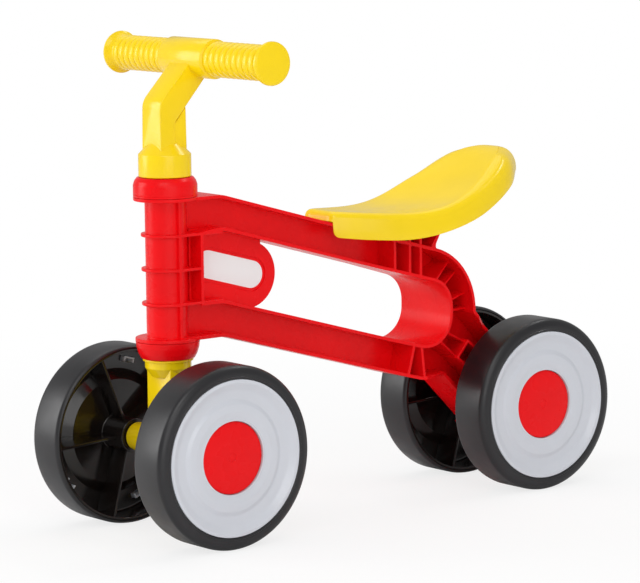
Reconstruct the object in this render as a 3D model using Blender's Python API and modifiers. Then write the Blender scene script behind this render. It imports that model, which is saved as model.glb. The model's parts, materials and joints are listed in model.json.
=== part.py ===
"""Foot-to-floor ride-on: a four-wheeled toy with a ribbed frame, a seat and a turning fork.

The model faces -Y, stands on z = 0 and is centred between its axles. Every shape is drawn in the
frame's own measure, where y = 0 is the steering axis and y = WHEELBASE is the rear axle; one empty
at the front carries them all. Lengths are metres.
"""
import math

import bmesh
import bpy
from mathutils import Euler, Matrix, Vector

# Overall sizes
WHEELBASE = 0.3765
WHEEL_RADIUS = 0.080
FRONT_TRACK_HALF = 0.0775
REAR_TRACK_HALF = 0.0552
STEERING_LIMIT = math.radians(45)

# Fits between pieces
GAP = 0.0003
RUNNING_GAP = 0.0004
SCREW_GAP = 0.0004

# How finely round shapes are drawn
WHEEL_STEPS = 20
TUBE_STEPS = 16
BAR_STEPS = 12
SMALL_STEPS = 12
SCREW_STEPS = 8
ARCH_STEPS = 36
ARC_STEP = math.radians(18)
CUT_OVERRUN = 0.010

# Frame, seen from the side
HEAD_TOP = 0.297
HEAD_BOTTOM = 0.1715
ARM_TOP = 0.2966
ARM_FOOT = 0.1719
ARM_BREAK = 0.046
ARM_BREAK_RADIUS = 0.030
ARM_FALL = 0.284
UPPER_ARM_DEPTH = 0.0310
LOWER_ARM_DEPTH = 0.0325
ARM_RISE_AT_HEAD = 0.0025
BEND_RADIUS = 0.0635
BEND_BACK = 0.0525
WINDOW_BACK = 0.0830
WINDOW_RADIUS = 0.0265
LEG_FRONT_REACH = 0.0348
LEG_REAR_REACH = 0.0254
LEG_END_REACH = 0.030
LEG_CORNER = 0.028
LEG_TOP_AHEAD = 0.0781
LOWER_ARM_END_AHEAD = 0.1145

# Frame, seen from above: half widths
HEAD_HALF = 0.0218
ARM_HALF = 0.020
BEND_HALF = 0.0355
LEG_HALF = 0.030
ARM_NARROW_FROM_HEAD = 0.090
FLARE_START = 0.1615
FLARE_END = 0.1015
FLARE_RADIUS = 0.050
LEG_NARROWING = 0.0120
ARCH_HALF = 0.0310
FRONT_SHIN_HALF = 0.0205
ARCH_CLEARANCE = 0.0035

# Walls and ribs of the frame
FLANGE = 0.0030
RIB = 0.0024
WEB_HALF = 0.0015
GUSSET_HALF = 0.0060
GUSSET_REAR = 0.084
GUSSET_Z = 0.2215
GUSSET_RADIUS = 0.030
HEAD_RIB_Y = 0.0235
ARM_RIBS_AHEAD = (0.1400, 0.1255, 0.1150)
LOWER_RIBS = ((0.1278, 12.3), (0.1119, -5.3))
BEND_CENTRE_AHEAD = 0.1445
BEND_CENTRE_Z = 0.1750
BEND_RIBS = ((30, 0.049, 0.080), (21, 0.056, 0.083), (6, 0.062, 0.088),
             (-3, 0.062, 0.088), (-22, 0.062, 0.095), (-32, 0.060, 0.093))
BEND_RIB = 0.0019
BEND_RIB_ROOT = 0.0120
BEND_RIB_OUTER_HALF = 0.0230
AXLE_BOSS_RADIUS = 0.0125
AXLE_BOSS_HALF = 0.0262
HUB_CLEARANCE = 0.0015
BOX_RIB_REACH = 0.0815
BOX_RIB_TOWARDS = (0.0598, 0.0518)
BOX_RIB_HALF = 0.0095
BOX_RIB_HEIGHT = 0.0274

# Place for the label, on both sides of the gusset
LABEL_RADIUS = 0.0150
LABEL_FRONT = (0.040, 0.2348)
LABEL_REAR = (0.088, 0.2215)
LABEL_DEPTH = 0.0012

# Head tube
HEAD_TUBE_RADIUS = 0.0182
HEAD_BORE = 0.0150
RING_RADIUS = 0.0218
RING_THICKNESS = 0.0028
RING_PROUD = 0.0001
RING_TOPS = (0.2655, 0.2355, 0.2055)
TOP_RING_RADIUS = 0.0280
BOTTOM_RING_RADIUS = 0.0282

# Seat pedestal
PEDESTAL_TOP = 0.2545
PEDESTAL_FRONT_AHEAD = 0.1715
PEDESTAL_REAR_AHEAD = 0.0900
PEDESTAL_NECK_AHEAD = 0.1010
PEDESTAL_HALF = 0.030
PEDESTAL_NECK_Z = 0.2325
SEAT_SCREW_X = 0.0245
SEAT_SCREWS_AHEAD = (0.1545, 0.1095)

# Bushes
SLEEVE_WALL = 0.0014
SLEEVE_FIT = 0.0002
UPPER_BUSH_HEIGHT = 0.0170
UPPER_BUSH_TOP_RADIUS = 0.0245
LOWER_BUSH_HEIGHT = 0.0152
LOWER_BUSH_FOOT_RADIUS = 0.0235
SLEEVE_LENGTH = 0.0280
STOP_LUG_HALF = 0.0035
STOP_LUG_REACH = 0.0168
STOP_LUG_HEIGHT = 0.0090

# Fork
STEERER_RADIUS = 0.0130
FORK_DISC_RADIUS = 0.0222
FORK_DISC_THICKNESS = 0.0019
FORK_COLLAR_RADIUS = 0.0203
FORK_COLLAR_HEIGHT = 0.0060
FORK_POST_HALF_X = 0.0176
FORK_POST_HALF_Y = 0.0104
FORK_AXLE_TUBE_RADIUS = 0.0125
FORK_AXLE_TUBE_HALF = 0.0485

# Handlebar
CUP_RADIUS = 0.0230
CUP_HEIGHT = 0.0195
CUP_TAPER = 0.0110
CUP_BORE_DEPTH = 0.0184
STEM_HALF = 0.0136
STEM_FRONT = 0.0136
STEM_DEPTH = 0.0159
STEM_POST_HALF = 0.0125
STEM_POST_DEPTH = 0.0124
STEM_POST_TOP = 0.0450
STEM_BEND_FRONT_SHARE = 0.4434
STEM_BEND_REAR_SHARE = 0.6589
STEM_FRONT_RADIUS = 0.0160
STEM_REAR_RADIUS = 0.0060
STEM_TIP_FRONT = (-0.0152, -0.0024)
STEM_TIP_REAR = (0.0017, -0.0165)
STEM_POST_SLOPE = 1.17
BAR_SETBACK = 0.0335
BAR_HEIGHT = 0.4154
BAR_HALF_LENGTH = 0.1120
BAR_CENTRE_HALF = 0.0312
BAR_CENTRE_RADIUS = 0.0173
GRIP_RADIUS = 0.0156
GRIP_GROOVE = 0.0011
GRIP_RIB_PITCH = 0.0079
GRIP_END_LENGTH = 0.0080
GRIP_FLANGE_RADIUS = 0.0188
GRIP_FLANGE_WIDTH = 0.0022

# Wheels, measured outwards from the middle plane of the tyre
TYRE_HALF_WIDTH = 0.0199
TYRE_THICKNESS = 0.0027
TYRE_SHOULDER = 0.0044
TYRE_FACE_RADIUS = 0.0705
TYRE_EDGE = 0.0030
CORE_WALL = 0.0025
CORE_FACE = 0.0110
CORE_STEP_OUTER = 0.0570
CORE_STEP_INNER = 0.0480
CORE_FLOOR = 0.0055
HUB_RADIUS = 0.0155
HUB_INNER_END = 0.0270
WEB_COUNT = 5
WEB_THICKNESS = 0.0024
WEB_INNER_EDGE = 0.0175
WEB_PHASE = math.radians(-22)
HOOK_RADIUS = 0.0645
HOOK_WIDTH = 0.0080
HOOK_THICKNESS = 0.0024
HOOK_BARB = 0.0018
HOOK_TIP = 0.0034
HOOK_SLOT_GAP = 0.0006
DISC_RADIUS = 0.0682
DISC_VALLEY_OUTER = 0.0580
DISC_VALLEY_INNER = 0.0485
DISC_VALLEY_DEPTH = 0.0047
DISC_CROWN_DEPTH = 0.0022
DISC_WALL = 0.0024
CAP_RADIUS = 0.0316
CAP_RECESS = 0.0055
CAP_THICKNESS = 0.0024
CAP_SPIGOT = 0.0215
CAP_SPIGOT_WALL = 0.0020

# Axles and small parts
AXLE_RADIUS = 0.0040
AXLE_BORE = 0.0045
AXLE_END_BEYOND_CORE = 0.0040
WASHER_THICKNESS = 0.0014
WASHER_RADIUS = 0.0105
NUT_THICKNESS = 0.0026
NUT_RADIUS = 0.0085
SCREW_RADIUS = 0.0017
SCREW_HEAD_RADIUS = 0.0036
SCREW_HEAD_HEIGHT = 0.0024
SEAT_SCREW_LENGTH = 0.0105
BAR_SCREW_LENGTH = 0.0155
BAR_SCREW_HEIGHT = 0.0085

# Seat: heights are at places ahead of the rear axle, half widths at places behind the nose
SEAT_NOSE_AHEAD = 0.2105
SEAT_NOSE_FLAT = 0.0150
SEAT_NOSE_CORNER = (0.0215, 0.0035)
SEAT_TAIL_BEYOND = 0.0195
SEAT_STATIONS = 11
SEAT_WIDTHS = ((0.011, 0.0262), (0.054, 0.0428), (0.094, 0.0540), (0.124, 0.0573), (0.154, 0.0556),
               (0.194, 0.0440), (0.2235, 0.0180))
SEAT_CREST = ((-0.0195, 0.3115), (0.000, 0.3160), (0.020, 0.3108), (0.0565, 0.2893), (0.0965, 0.2720),
              (0.1365, 0.2672), (0.2105, 0.2718))
SEAT_FOOT = ((-0.0195, 0.2960), (0.012, 0.2835), (0.0565, 0.2620), (0.0965, 0.2495), (0.1365, 0.2433),
             (0.1765, 0.2450), (0.2105, 0.2490))
SEAT_SHOULDER = ((0.0, 1.0), (0.12, 0.47), (0.45, 0.13), (1.0, 0.0))
SEAT_WALL = 0.0030
SEAT_EDGE = 0.0050
SEAT_TAIL_EDGE = 0.0260
SEAT_WIDENING_AHEAD = 0.1000
SEAT_WIDENING_LENGTH = 0.1150
SEAT_DISH = 0.0020
SEAT_DISH_FADE = 0.0400
SEAT_BOSS_RADIUS = 0.0050
SEAT_NOTCH_GAP = 0.0008
SEAT_NOTCH_DEPTH = 0.0130

# Where the main pieces lie
REAR = WHEELBASE
CORE_RADIUS = WHEEL_RADIUS - TYRE_THICKNESS - GAP
FORK_TOP = HEAD_BOTTOM - LOWER_BUSH_HEIGHT - RUNNING_GAP
CUP_FOOT = HEAD_TOP + GAP + UPPER_BUSH_HEIGHT + RUNNING_GAP
SLEEVE_OUTER = HEAD_BORE - SLEEVE_FIT
SLEEVE_INNER = SLEEVE_OUTER - SLEEVE_WALL

RED = (0.66, 0.006, 0.014)
YELLOW = (0.84, 0.60, 0.02)
TYRE_BLACK = (0.020, 0.020, 0.022)
CORE_BLACK = (0.010, 0.008, 0.008)
WHITE = (0.80, 0.80, 0.82)
STEEL = (0.55, 0.56, 0.58)


def new_collection(name):
    collection = bpy.data.collections.new(name)
    bpy.context.scene.collection.children.link(collection)
    return collection


def clear_scene():
    for thing in list(bpy.data.objects):
        bpy.data.objects.remove(thing, do_unlink=True)


def make_material(name, colour, roughness, metallic=0.0):
    material = bpy.data.materials.new(name)
    material.use_nodes = True
    material.diffuse_color = (*colour, 1.0)
    surface = material.node_tree.nodes['Principled BSDF']
    surface.inputs['Base Color'].default_value = (*colour, 1.0)
    surface.inputs['Roughness'].default_value = roughness
    surface.inputs['Metallic'].default_value = metallic
    return material


def make_axis(name, parent, location=(0, 0, 0)):
    """An empty on a joint's axis, which carries the pieces that move together."""
    axis = bpy.data.objects.new(name, None)
    axis.location = location
    axis.parent = parent
    axis.empty_display_size = 0.02
    PARTS.objects.link(axis)
    return axis


def finish(thing, parent, material):
    """Names a shape as one of the pieces: its parent, its material and its shading."""
    thing.parent = parent
    thing.data.materials.clear()
    thing.data.materials.append(material)
    thing.data.shade_smooth()
    thing.data.set_sharp_from_angle(angle=math.radians(32))
    return thing


def new_object(name, mesh):
    thing = bpy.data.objects.new(name, mesh)
    PARTS.objects.link(thing)
    return thing


def box(name, low, high):
    """A box between two corners."""
    shape = bmesh.new()
    middle = [(a + b) / 2 for a, b in zip(low, high)]
    size = [b - a for a, b in zip(low, high)]
    place = Matrix.Translation(middle) @ Matrix.Diagonal((*size, 1))
    bmesh.ops.create_cube(shape, size=1, matrix=place)
    mesh = bpy.data.meshes.new(name)
    shape.to_mesh(mesh)
    shape.free()
    return new_object(name, mesh)


def plate(name, start, end, half_thickness, half_width):
    """A rib seen edge on from the side: a thin box from one (y, z) point to another."""
    along = Vector(end) - Vector(start)
    middle = (Vector(end) + Vector(start)) / 2
    thing = box(name, (-half_width, -along.length / 2, -half_thickness),
                (half_width, along.length / 2, half_thickness))
    lean = math.atan2(along.y, along.x)
    thing.data.transform(Matrix.Translation((0, middle.x, middle.y)) @ Matrix.Rotation(lean, 4, 'X'))
    return thing


def cylinder(name, radius, low, high, axis='X', at=(0, 0, 0), steps=SMALL_STEPS):
    """A cylinder along X, Y or Z from low to high on that axis."""
    shape = bmesh.new()
    turn = {'X': Euler((0, math.pi / 2, 0)), 'Y': Euler((-math.pi / 2, 0, 0)), 'Z': Euler((0, 0, 0))}[axis]
    place = Matrix.Translation(at) @ turn.to_matrix().to_4x4() @ Matrix.Translation((0, 0, (low + high) / 2))
    bmesh.ops.create_cone(shape, cap_ends=True, segments=steps, radius1=radius, radius2=radius,
                          depth=high - low, matrix=place)
    mesh = bpy.data.meshes.new(name)
    shape.to_mesh(mesh)
    shape.free()
    return new_object(name, mesh)


def turned(name, profile, steps=TUBE_STEPS, ring=True):
    """A solid turned about Z. The (radius, height) profile runs down its outer side;
    a ring's profile comes back up its bore, and any other one starts and ends on the axis."""
    count = len(profile)
    edges = [(i, i + 1) for i in range(count - 1)]
    if ring:
        edges.append((count - 1, 0))
    mesh = bpy.data.meshes.new(name)
    mesh.from_pydata([(radius, 0, height) for radius, height in profile], edges, [])
    thing = new_object(name, mesh)
    screw = thing.modifiers.new('Turn', 'SCREW')
    screw.steps = steps
    screw.render_steps = steps
    screw.use_merge_vertices = True
    screw.merge_threshold = 0.00001
    return thing


def prism(name, outline, low, high, axis='X'):
    """A flat outline as a solid between two planes: (y, z) points along X, (x, y) points along Z."""
    curve = bpy.data.curves.new(name, 'CURVE')
    curve.dimensions = '2D'
    curve.fill_mode = 'BOTH'
    curve.extrude = (high - low) / 2
    spline = curve.splines.new('POLY')
    spline.points.add(len(outline) - 1)
    for point, (a, b) in zip(spline.points, outline):
        point.co = (a, b, 0, 1)
    spline.use_cyclic_u = True
    drawn = new_object(name, curve)
    if axis == 'X':
        drawn.rotation_euler = (math.pi / 2, 0, math.pi / 2)
        drawn.location = ((low + high) / 2, 0, 0)
    else:
        drawn.location = (0, 0, (low + high) / 2)
    return as_mesh(drawn)


def as_mesh(drawn):
    """The evaluated shape of an object as a plain mesh object, in place of it and its tools."""
    bpy.context.view_layer.update()
    name = drawn.name
    tools = drawn.children_recursive
    seen = drawn.evaluated_get(bpy.context.evaluated_depsgraph_get())
    mesh = bpy.data.meshes.new_from_object(seen)
    mesh.transform(drawn.matrix_world)
    weld(mesh)
    for used in (drawn, *tools):
        bpy.data.objects.remove(used, do_unlink=True)
    mesh.name = name
    return new_object(name, mesh)


def weld(mesh, distance=0.00001):
    """Joins the corners that meet and turns every face outwards."""
    shape = bmesh.new()
    shape.from_mesh(mesh)
    bmesh.ops.remove_doubles(shape, verts=shape.verts, dist=distance)
    bmesh.ops.recalc_face_normals(shape, faces=shape.faces)
    shape.to_mesh(mesh)
    shape.free()


def boolean(target, tool, operation):
    """Joins, cuts or keeps what a tool covers, and puts the tool away."""
    step = target.modifiers.new(tool.name, 'BOOLEAN')
    step.operation = operation
    step.object = tool
    tool.parent = target
    tool.hide_render = True
    tool.display_type = 'WIRE'
    PARTS.objects.unlink(tool)
    CUTTERS.objects.link(tool)
    return target


def join(target, *tools):
    for tool in tools:
        boolean(target, tool, 'UNION')
    return target


def cut(target, *tools):
    for tool in tools:
        boolean(target, tool, 'DIFFERENCE')
    return target


def keep(target, *tools):
    for tool in tools:
        boolean(target, tool, 'INTERSECT')
    return target


def mirrored(thing):
    """The same shape on the other side of the middle plane."""
    mesh = thing.data.copy()
    mesh.transform(Matrix.Scale(-1, 4, (1, 0, 0)))
    mesh.flip_normals()
    return new_object(thing.name + '_right', mesh)


def crossing(point, direction, other_point, other_direction):
    """Where two lines in a plane cross."""
    reach = direction[0] * other_direction[1] - direction[1] * other_direction[0]
    gap = (other_point[0] - point[0], other_point[1] - point[1])
    along = (gap[0] * other_direction[1] - gap[1] * other_direction[0]) / reach
    return point[0] + along * direction[0], point[1] + along * direction[1]


def offset(corners, distance):
    """The same (a, b, radius) corners with every side moved out, and the arcs kept concentric."""
    count = len(corners)
    area = sum(corners[i - 1][0] * corners[i][1] - corners[i][0] * corners[i - 1][1] for i in range(count))
    side = math.copysign(1, area)
    moved = []
    for i, (a, b, radius) in enumerate(corners):
        here = Vector((a, b))
        coming = (here - Vector(corners[i - 1][:2])).normalized()
        going = (Vector(corners[(i + 1) % count][:2]) - here).normalized()
        out_coming = Vector((coming.y, -coming.x)) * side
        out_going = Vector((going.y, -going.x)) * side
        place = crossing(here + out_coming * distance, coming, here + out_going * distance, going)
        bulges = (coming.x * going.y - coming.y * going.x) * side > 0
        changed = radius + distance if bulges else radius - distance
        moved.append((*place, max(changed, 0) if radius else 0))
    return moved


def rounded(corners):
    """The outline through (a, b, radius) corners, each rounded with an arc of short chords."""
    outline = []
    for i, (a, b, radius) in enumerate(corners):
        here = Vector((a, b))
        if radius == 0:
            outline.append((a, b))
            continue
        back = (Vector(corners[i - 1][:2]) - here).normalized()
        ahead = (Vector(corners[(i + 1) % len(corners)][:2]) - here).normalized()
        half = back.angle(ahead) / 2
        middle = here + (back + ahead).normalized() * radius / math.sin(half)
        arm = here + back * radius / math.tan(half) - middle
        side = math.copysign(1, ahead.x * back.y - ahead.y * back.x)
        sweep = math.pi - 2 * half
        steps = max(1, math.ceil(sweep / ARC_STEP))
        for step in range(steps + 1):
            turn = Matrix.Rotation(side * sweep * step / steps, 2)
            outline.append(tuple(middle + turn @ arm))
    return outline


def arc(centre, radius, start, end, step=ARC_STEP):
    """Points along an arc in degrees, ends included."""
    sweep = math.radians(end - start)
    count = max(1, math.ceil(abs(sweep) / step))
    angles = [math.radians(start) + sweep * i / count for i in range(count + 1)]
    return [(centre[0] + radius * math.cos(a), centre[1] + radius * math.sin(a)) for a in angles]


def curve_through(knots, value):
    """A smooth height through (place, height) knots: cubic pieces with the slopes between neighbours."""
    count = len(knots)
    i = max(k for k in range(count - 1) if k == 0 or knots[k][0] <= value)
    slopes = []
    for k in (i, i + 1):
        before, after = knots[max(k - 1, 0)], knots[min(k + 1, count - 1)]
        slopes.append((after[1] - before[1]) / (after[0] - before[0]))
    (start, low), (end, high) = knots[i], knots[i + 1]
    span = end - start
    t = min(max((value - start) / span, 0), 1)
    ease = t * t * (3 - 2 * t)
    bend = t * (1 - t) * ((1 - t) * slopes[0] - t * slopes[1]) * span
    return low + (high - low) * ease + bend


def arm_top(y):
    return ARM_TOP - ARM_FALL * (y - ARM_BREAK)


def arm_foot(y):
    return ARM_FOOT - ARM_FALL * (y - ARM_BREAK)


def frame_corners():
    """The outer outline of arms, bend and leg, clockwise from the top of the head."""
    down_back = (1, -1)
    front = -WEB_HALF
    back = REAR - BEND_BACK
    bend = (back, arm_top(back))
    axle = Vector((REAR, WHEEL_RADIUS))
    normal = Vector((1, 1)).normalized()
    tip = axle + Vector((1, -1)).normalized() * LEG_END_REACH
    leg_rear = crossing(axle + normal * LEG_REAR_REACH, down_back, tip, normal)
    leg_front = crossing(axle - normal * LEG_FRONT_REACH, down_back, tip, normal)
    rear_kink = crossing(bend, (0, -1), axle + normal * LEG_REAR_REACH, down_back)
    arm_end_y = REAR - LOWER_ARM_END_AHEAD
    arm_end = (arm_end_y, arm_foot(arm_end_y))
    shin_y = REAR - LEG_TOP_AHEAD
    shin = crossing(axle - normal * LEG_FRONT_REACH, down_back, (shin_y, arm_end[1]), (1, 0))
    return [
        (front, ARM_TOP, 0),
        (ARM_BREAK, ARM_TOP, ARM_BREAK_RADIUS),
        (*bend, BEND_RADIUS),
        (*rear_kink, 0),
        (*leg_rear, LEG_CORNER),
        (*leg_front, LEG_CORNER),
        (*shin, 0.004),
        (*arm_end, 0.020),
        (ARM_BREAK, ARM_FOOT, ARM_BREAK_RADIUS),
        (front, ARM_FOOT, 0),
    ]


def between_arms():
    """The opening between the arms, from the rib behind the head to the inside of the bend."""
    front = HEAD_RIB_Y + RIB / 2
    back = REAR - WINDOW_BACK
    top = ARM_TOP - UPPER_ARM_DEPTH
    bottom = ARM_FOOT + LOWER_ARM_DEPTH
    return [
        (front, top - ARM_RISE_AT_HEAD, 0),
        (ARM_BREAK, top, ARM_BREAK_RADIUS),
        (back, top - ARM_FALL * (back - ARM_BREAK), WINDOW_RADIUS),
        (back, bottom - ARM_FALL * (back - ARM_BREAK), WINDOW_RADIUS),
        (ARM_BREAK, bottom, ARM_BREAK_RADIUS),
        (front, bottom, 0),
    ]


def frame_widths():
    """The plan outline: half the width along the frame, then the same on the other side."""
    half = [
        (HEAD_HALF, -CUT_OVERRUN, 0),
        (HEAD_HALF, HEAD_TUBE_RADIUS / 2, 0),
        (ARM_HALF, ARM_NARROW_FROM_HEAD, 0),
        (ARM_HALF, REAR - FLARE_START, FLARE_RADIUS),
        (BEND_HALF, REAR - FLARE_END, FLARE_RADIUS),
        (BEND_HALF, REAR - BEND_BACK, 0),
        (LEG_HALF, REAR - BEND_BACK + LEG_NARROWING, 0),
        (LEG_HALF, REAR + WHEEL_RADIUS, 0),
    ]
    return half + [(-x, y, radius) for x, y, radius in reversed(half)]


def bend_fin(angle, rim, reach):
    """A rib across the bend, whose edge falls from the window's rim towards the outer flange."""
    start = rim - FLANGE
    above = BEND_HALF + CUT_OVERRUN
    outline = [(start, 0), (reach + BEND_RIB_ROOT, 0), (reach + BEND_RIB_ROOT, BEND_RIB_OUTER_HALF),
               (reach, BEND_RIB_OUTER_HALF), (rim, BEND_HALF), (rim, above), (start, above)]
    fin = prism('bend_rib_%d' % angle, outline, -BEND_RIB / 2, BEND_RIB / 2)
    across, along = math.sin(math.radians(angle)), math.cos(math.radians(angle))
    turn = Matrix(((0, 0, 1, 0), (across, along, 0, 0), (-along, across, 0, 0), (0, 0, 0, 1)))
    centre = (0, REAR - BEND_CENTRE_AHEAD, BEND_CENTRE_Z)
    fin.data.transform(Matrix.Translation(centre) @ turn)
    return fin


def make_frame_pocket():
    """The hollow beside the web on the left: the outline less its flanges, ribs and floors."""
    corners = frame_corners()
    front = WEB_HALF
    inner = offset(corners, -FLANGE)
    inner[0] = (front, inner[0][1], 0)
    inner[-1] = (front, inner[-1][1], 0)
    far = BEND_HALF + CUT_OVERRUN
    pocket = prism('side_pocket', rounded(inner), WEB_HALF, far)
    rim = prism('window_rim', rounded(offset(between_arms(), FLANGE)), -0.001, far + 0.001)
    cut(pocket, rim)
    ribs = []
    for place, top in enumerate(RING_TOPS):
        back = ARM_BREAK if place != 1 else HEAD_RIB_Y
        ribs.append(box('ring_flange_%d' % place, (0, -0.005, top - RING_THICKNESS + RING_PROUD),
                        (far + 0.002, back, top - RING_PROUD)))
    for place, ahead in enumerate(ARM_RIBS_AHEAD):
        y = REAR - ahead
        ribs.append(box('arm_rib_%d' % place, (0, y - RIB / 2, arm_top(y) - UPPER_ARM_DEPTH),
                        (far + 0.002, y + RIB / 2, arm_top(y) + 0.001)))
    for place, (ahead, lean) in enumerate(LOWER_RIBS):
        y = REAR - ahead
        foot = arm_foot(y) + 0.001
        ribs.append(plate('lower_rib_%d' % place, (y, foot),
                          (y + math.tan(math.radians(lean)) * LOWER_ARM_DEPTH, foot + LOWER_ARM_DEPTH),
                          RIB / 2, far + 0.002))
    ribs += [bend_fin(*rib) for rib in BEND_RIBS]
    cut(pocket, *ribs)
    cut(pocket, *box_rib())
    return pocket


def box_rib():
    """The box rib that runs up the leg from the axle boss, with an open middle."""
    axle = Vector((REAR, WHEEL_RADIUS))
    up = Vector((-BOX_RIB_TOWARDS[0], BOX_RIB_TOWARDS[1])).normalized()
    across = Vector((-up.y, up.x))
    ribs = []
    for side in (-1, 1):
        edge = across * side * BOX_RIB_HALF
        ribs.append(plate('box_rib_%d' % (side + 1), axle + edge + up * 0.004,
                          axle + edge + up * (BOX_RIB_REACH - RIB / 2), RIB / 2, BOX_RIB_HEIGHT))
    end = axle + up * (BOX_RIB_REACH - RIB / 2)
    half = BOX_RIB_HALF + RIB * 0.45
    ribs.append(plate('box_rib_end', end - across * half, end + across * half,
                      RIB / 2, BOX_RIB_HEIGHT - 0.0004))
    return ribs


def head_tube():
    """The head tube with its rings, as one turned shape without its bore."""
    profile = [(0, HEAD_TOP), (TOP_RING_RADIUS, HEAD_TOP), (TOP_RING_RADIUS, HEAD_TOP - FLANGE),
               (HEAD_TUBE_RADIUS, HEAD_TOP - FLANGE)]
    for top in RING_TOPS:
        bottom = top - RING_THICKNESS
        profile += [(HEAD_TUBE_RADIUS, top), (RING_RADIUS, top), (RING_RADIUS, bottom),
                    (HEAD_TUBE_RADIUS, bottom)]
    profile += [(HEAD_TUBE_RADIUS, HEAD_BOTTOM + FLANGE), (BOTTOM_RING_RADIUS, HEAD_BOTTOM + FLANGE),
                (BOTTOM_RING_RADIUS, HEAD_BOTTOM), (0, HEAD_BOTTOM)]
    return turned('head_tube', profile, ring=False)


def pedestal():
    """The block that rises from the upper arm to the seat, with a flared back."""
    front = REAR - PEDESTAL_FRONT_AHEAD
    rear = REAR - PEDESTAL_REAR_AHEAD
    neck = REAR - PEDESTAL_NECK_AHEAD
    foot = neck + 0.0045
    sunk = PEDESTAL_TOP - FLANGE / 2
    outline = [(front + 0.006, sunk, 0), (rear, sunk, 0), (neck, PEDESTAL_NECK_Z, 0.004),
               (foot, arm_top(foot) - 0.003, 0), (foot - 0.004, arm_top(foot) - 0.008, 0),
               (front + 0.006, arm_top(front) - 0.006, 0)]
    return prism('pedestal', rounded(outline), -BEND_HALF, BEND_HALF)


def pedestal_hollow():
    """The space beside the pedestal's web on the left, between its ribs and under its plate."""
    neck = REAR - PEDESTAL_NECK_AHEAD
    under = PEDESTAL_TOP - FLANGE
    wedge = ARM_BREAK + (ARM_TOP - under) / ARM_FALL
    inside = neck - FLANGE * 1.1
    start = wedge + 0.006
    floor = FLANGE * 0.1
    outline = [(start, under), (neck + 0.0075, under), (inside, PEDESTAL_NECK_Z + 0.0015),
               (inside, arm_top(inside) + floor), (start, arm_top(start) + floor)]
    space = prism('pedestal_hollow', outline, WEB_HALF, BEND_HALF + CUT_OVERRUN)
    for place, ahead in enumerate(ARM_RIBS_AHEAD[1:]):
        y = REAR - ahead
        cut(space, box('pedestal_rib_%d' % place, (0, y - RIB / 2, arm_top(y) - CUT_OVERRUN),
                       (BEND_HALF + CUT_OVERRUN * 2, y + RIB / 2, PEDESTAL_TOP + CUT_OVERRUN)))
    return as_mesh(space)


def pedestal_plate():
    front = REAR - PEDESTAL_FRONT_AHEAD
    rear = REAR - PEDESTAL_REAR_AHEAD
    top = [(PEDESTAL_HALF, front, 0.008), (PEDESTAL_HALF, rear, 0.004), (-PEDESTAL_HALF, rear, 0.004),
           (-PEDESTAL_HALF, front, 0.008)]
    return prism('pedestal_plate', rounded(top), PEDESTAL_TOP - FLANGE - RING_PROUD, PEDESTAL_TOP, 'Z')


def gusset():
    """The flat plate between the arms, whose rear edge is an arc, with the places for the labels."""
    top = ARM_TOP - UPPER_ARM_DEPTH
    bottom = ARM_FOOT + LOWER_ARM_DEPTH
    inside = FLANGE / 2
    edge = arc((GUSSET_REAR, GUSSET_Z), GUSSET_RADIUS, -80, 62)
    outline = [(0.020, top + inside), (0.020, bottom - inside), (ARM_BREAK, bottom - inside),
               (edge[0][0], bottom - inside - ARM_FALL * (edge[0][0] - ARM_BREAK)), *edge,
               (edge[-1][0], top + inside - ARM_FALL * (edge[-1][0] - ARM_BREAK)),
               (ARM_BREAK, top + inside)]
    sheet = prism('gusset', outline, -GUSSET_HALF, GUSSET_HALF)
    lean = math.degrees(math.atan2(LABEL_REAR[1] - LABEL_FRONT[1], LABEL_REAR[0] - LABEL_FRONT[0]))
    pill = arc(LABEL_REAR, LABEL_RADIUS, lean - 90, lean + 90)
    pill += arc(LABEL_FRONT, LABEL_RADIUS, lean + 90, lean + 270)
    for side in (-1, 1):
        low, high = sorted((side * (GUSSET_HALF - LABEL_DEPTH), side * (GUSSET_HALF + 0.001)))
        cut(sheet, prism('label_place_%d' % (side + 1), pill, low, high))
    return as_mesh(sheet)


def make_frame():
    outline = rounded(frame_corners())
    frame = prism('frame', outline, -BEND_HALF - 0.001, BEND_HALF + 0.001)
    join(frame, pedestal())
    keep(frame, prism('frame_plan', rounded(frame_widths()), 0, 0.320, 'Z'))
    far = BEND_HALF + CUT_OVERRUN
    cut(frame, prism('between_arms', rounded(between_arms()), -far, far))
    pocket = as_mesh(make_frame_pocket())
    cut(frame, mirrored(pocket), pocket)
    hollow = pedestal_hollow()
    cut(frame, mirrored(hollow), hollow)
    reach = WHEEL_RADIUS + ARCH_CLEARANCE
    axle = (0, REAR, WHEEL_RADIUS)
    arch = cylinder('wheel_arch', reach, ARCH_HALF, far + 0.005, at=axle, steps=ARCH_STEPS)
    cut(frame, mirrored(arch), arch)
    hub = cylinder('hub_relief', HUB_RADIUS + HUB_CLEARANCE, AXLE_BOSS_HALF - GAP, far, at=axle,
                   steps=TUBE_STEPS)
    cut(frame, mirrored(hub), hub)
    shin = shin_relief()
    cut(frame, mirrored(shin), shin)
    join(frame, gusset(), pedestal_plate(), head_tube())
    join(frame, cylinder('axle_boss', AXLE_BOSS_RADIUS, -AXLE_BOSS_HALF, AXLE_BOSS_HALF, at=axle,
                         steps=TUBE_STEPS))
    cut(frame, cylinder('head_bore', HEAD_BORE, HEAD_BOTTOM - CUT_OVERRUN, HEAD_TOP + CUT_OVERRUN, 'Z',
                        steps=TUBE_STEPS))
    cut(frame, cylinder('axle_bore', AXLE_BORE, -far, far, at=axle))
    for x, y in seat_screw_places():
        hole = SCREW_RADIUS + SCREW_GAP
        cut(frame, cylinder('seat_screw_hole', hole, PEDESTAL_TOP - FLANGE * 2, PEDESTAL_TOP + FLANGE, 'Z',
                            (x, y, 0), SCREW_STEPS))
    return frame


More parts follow.
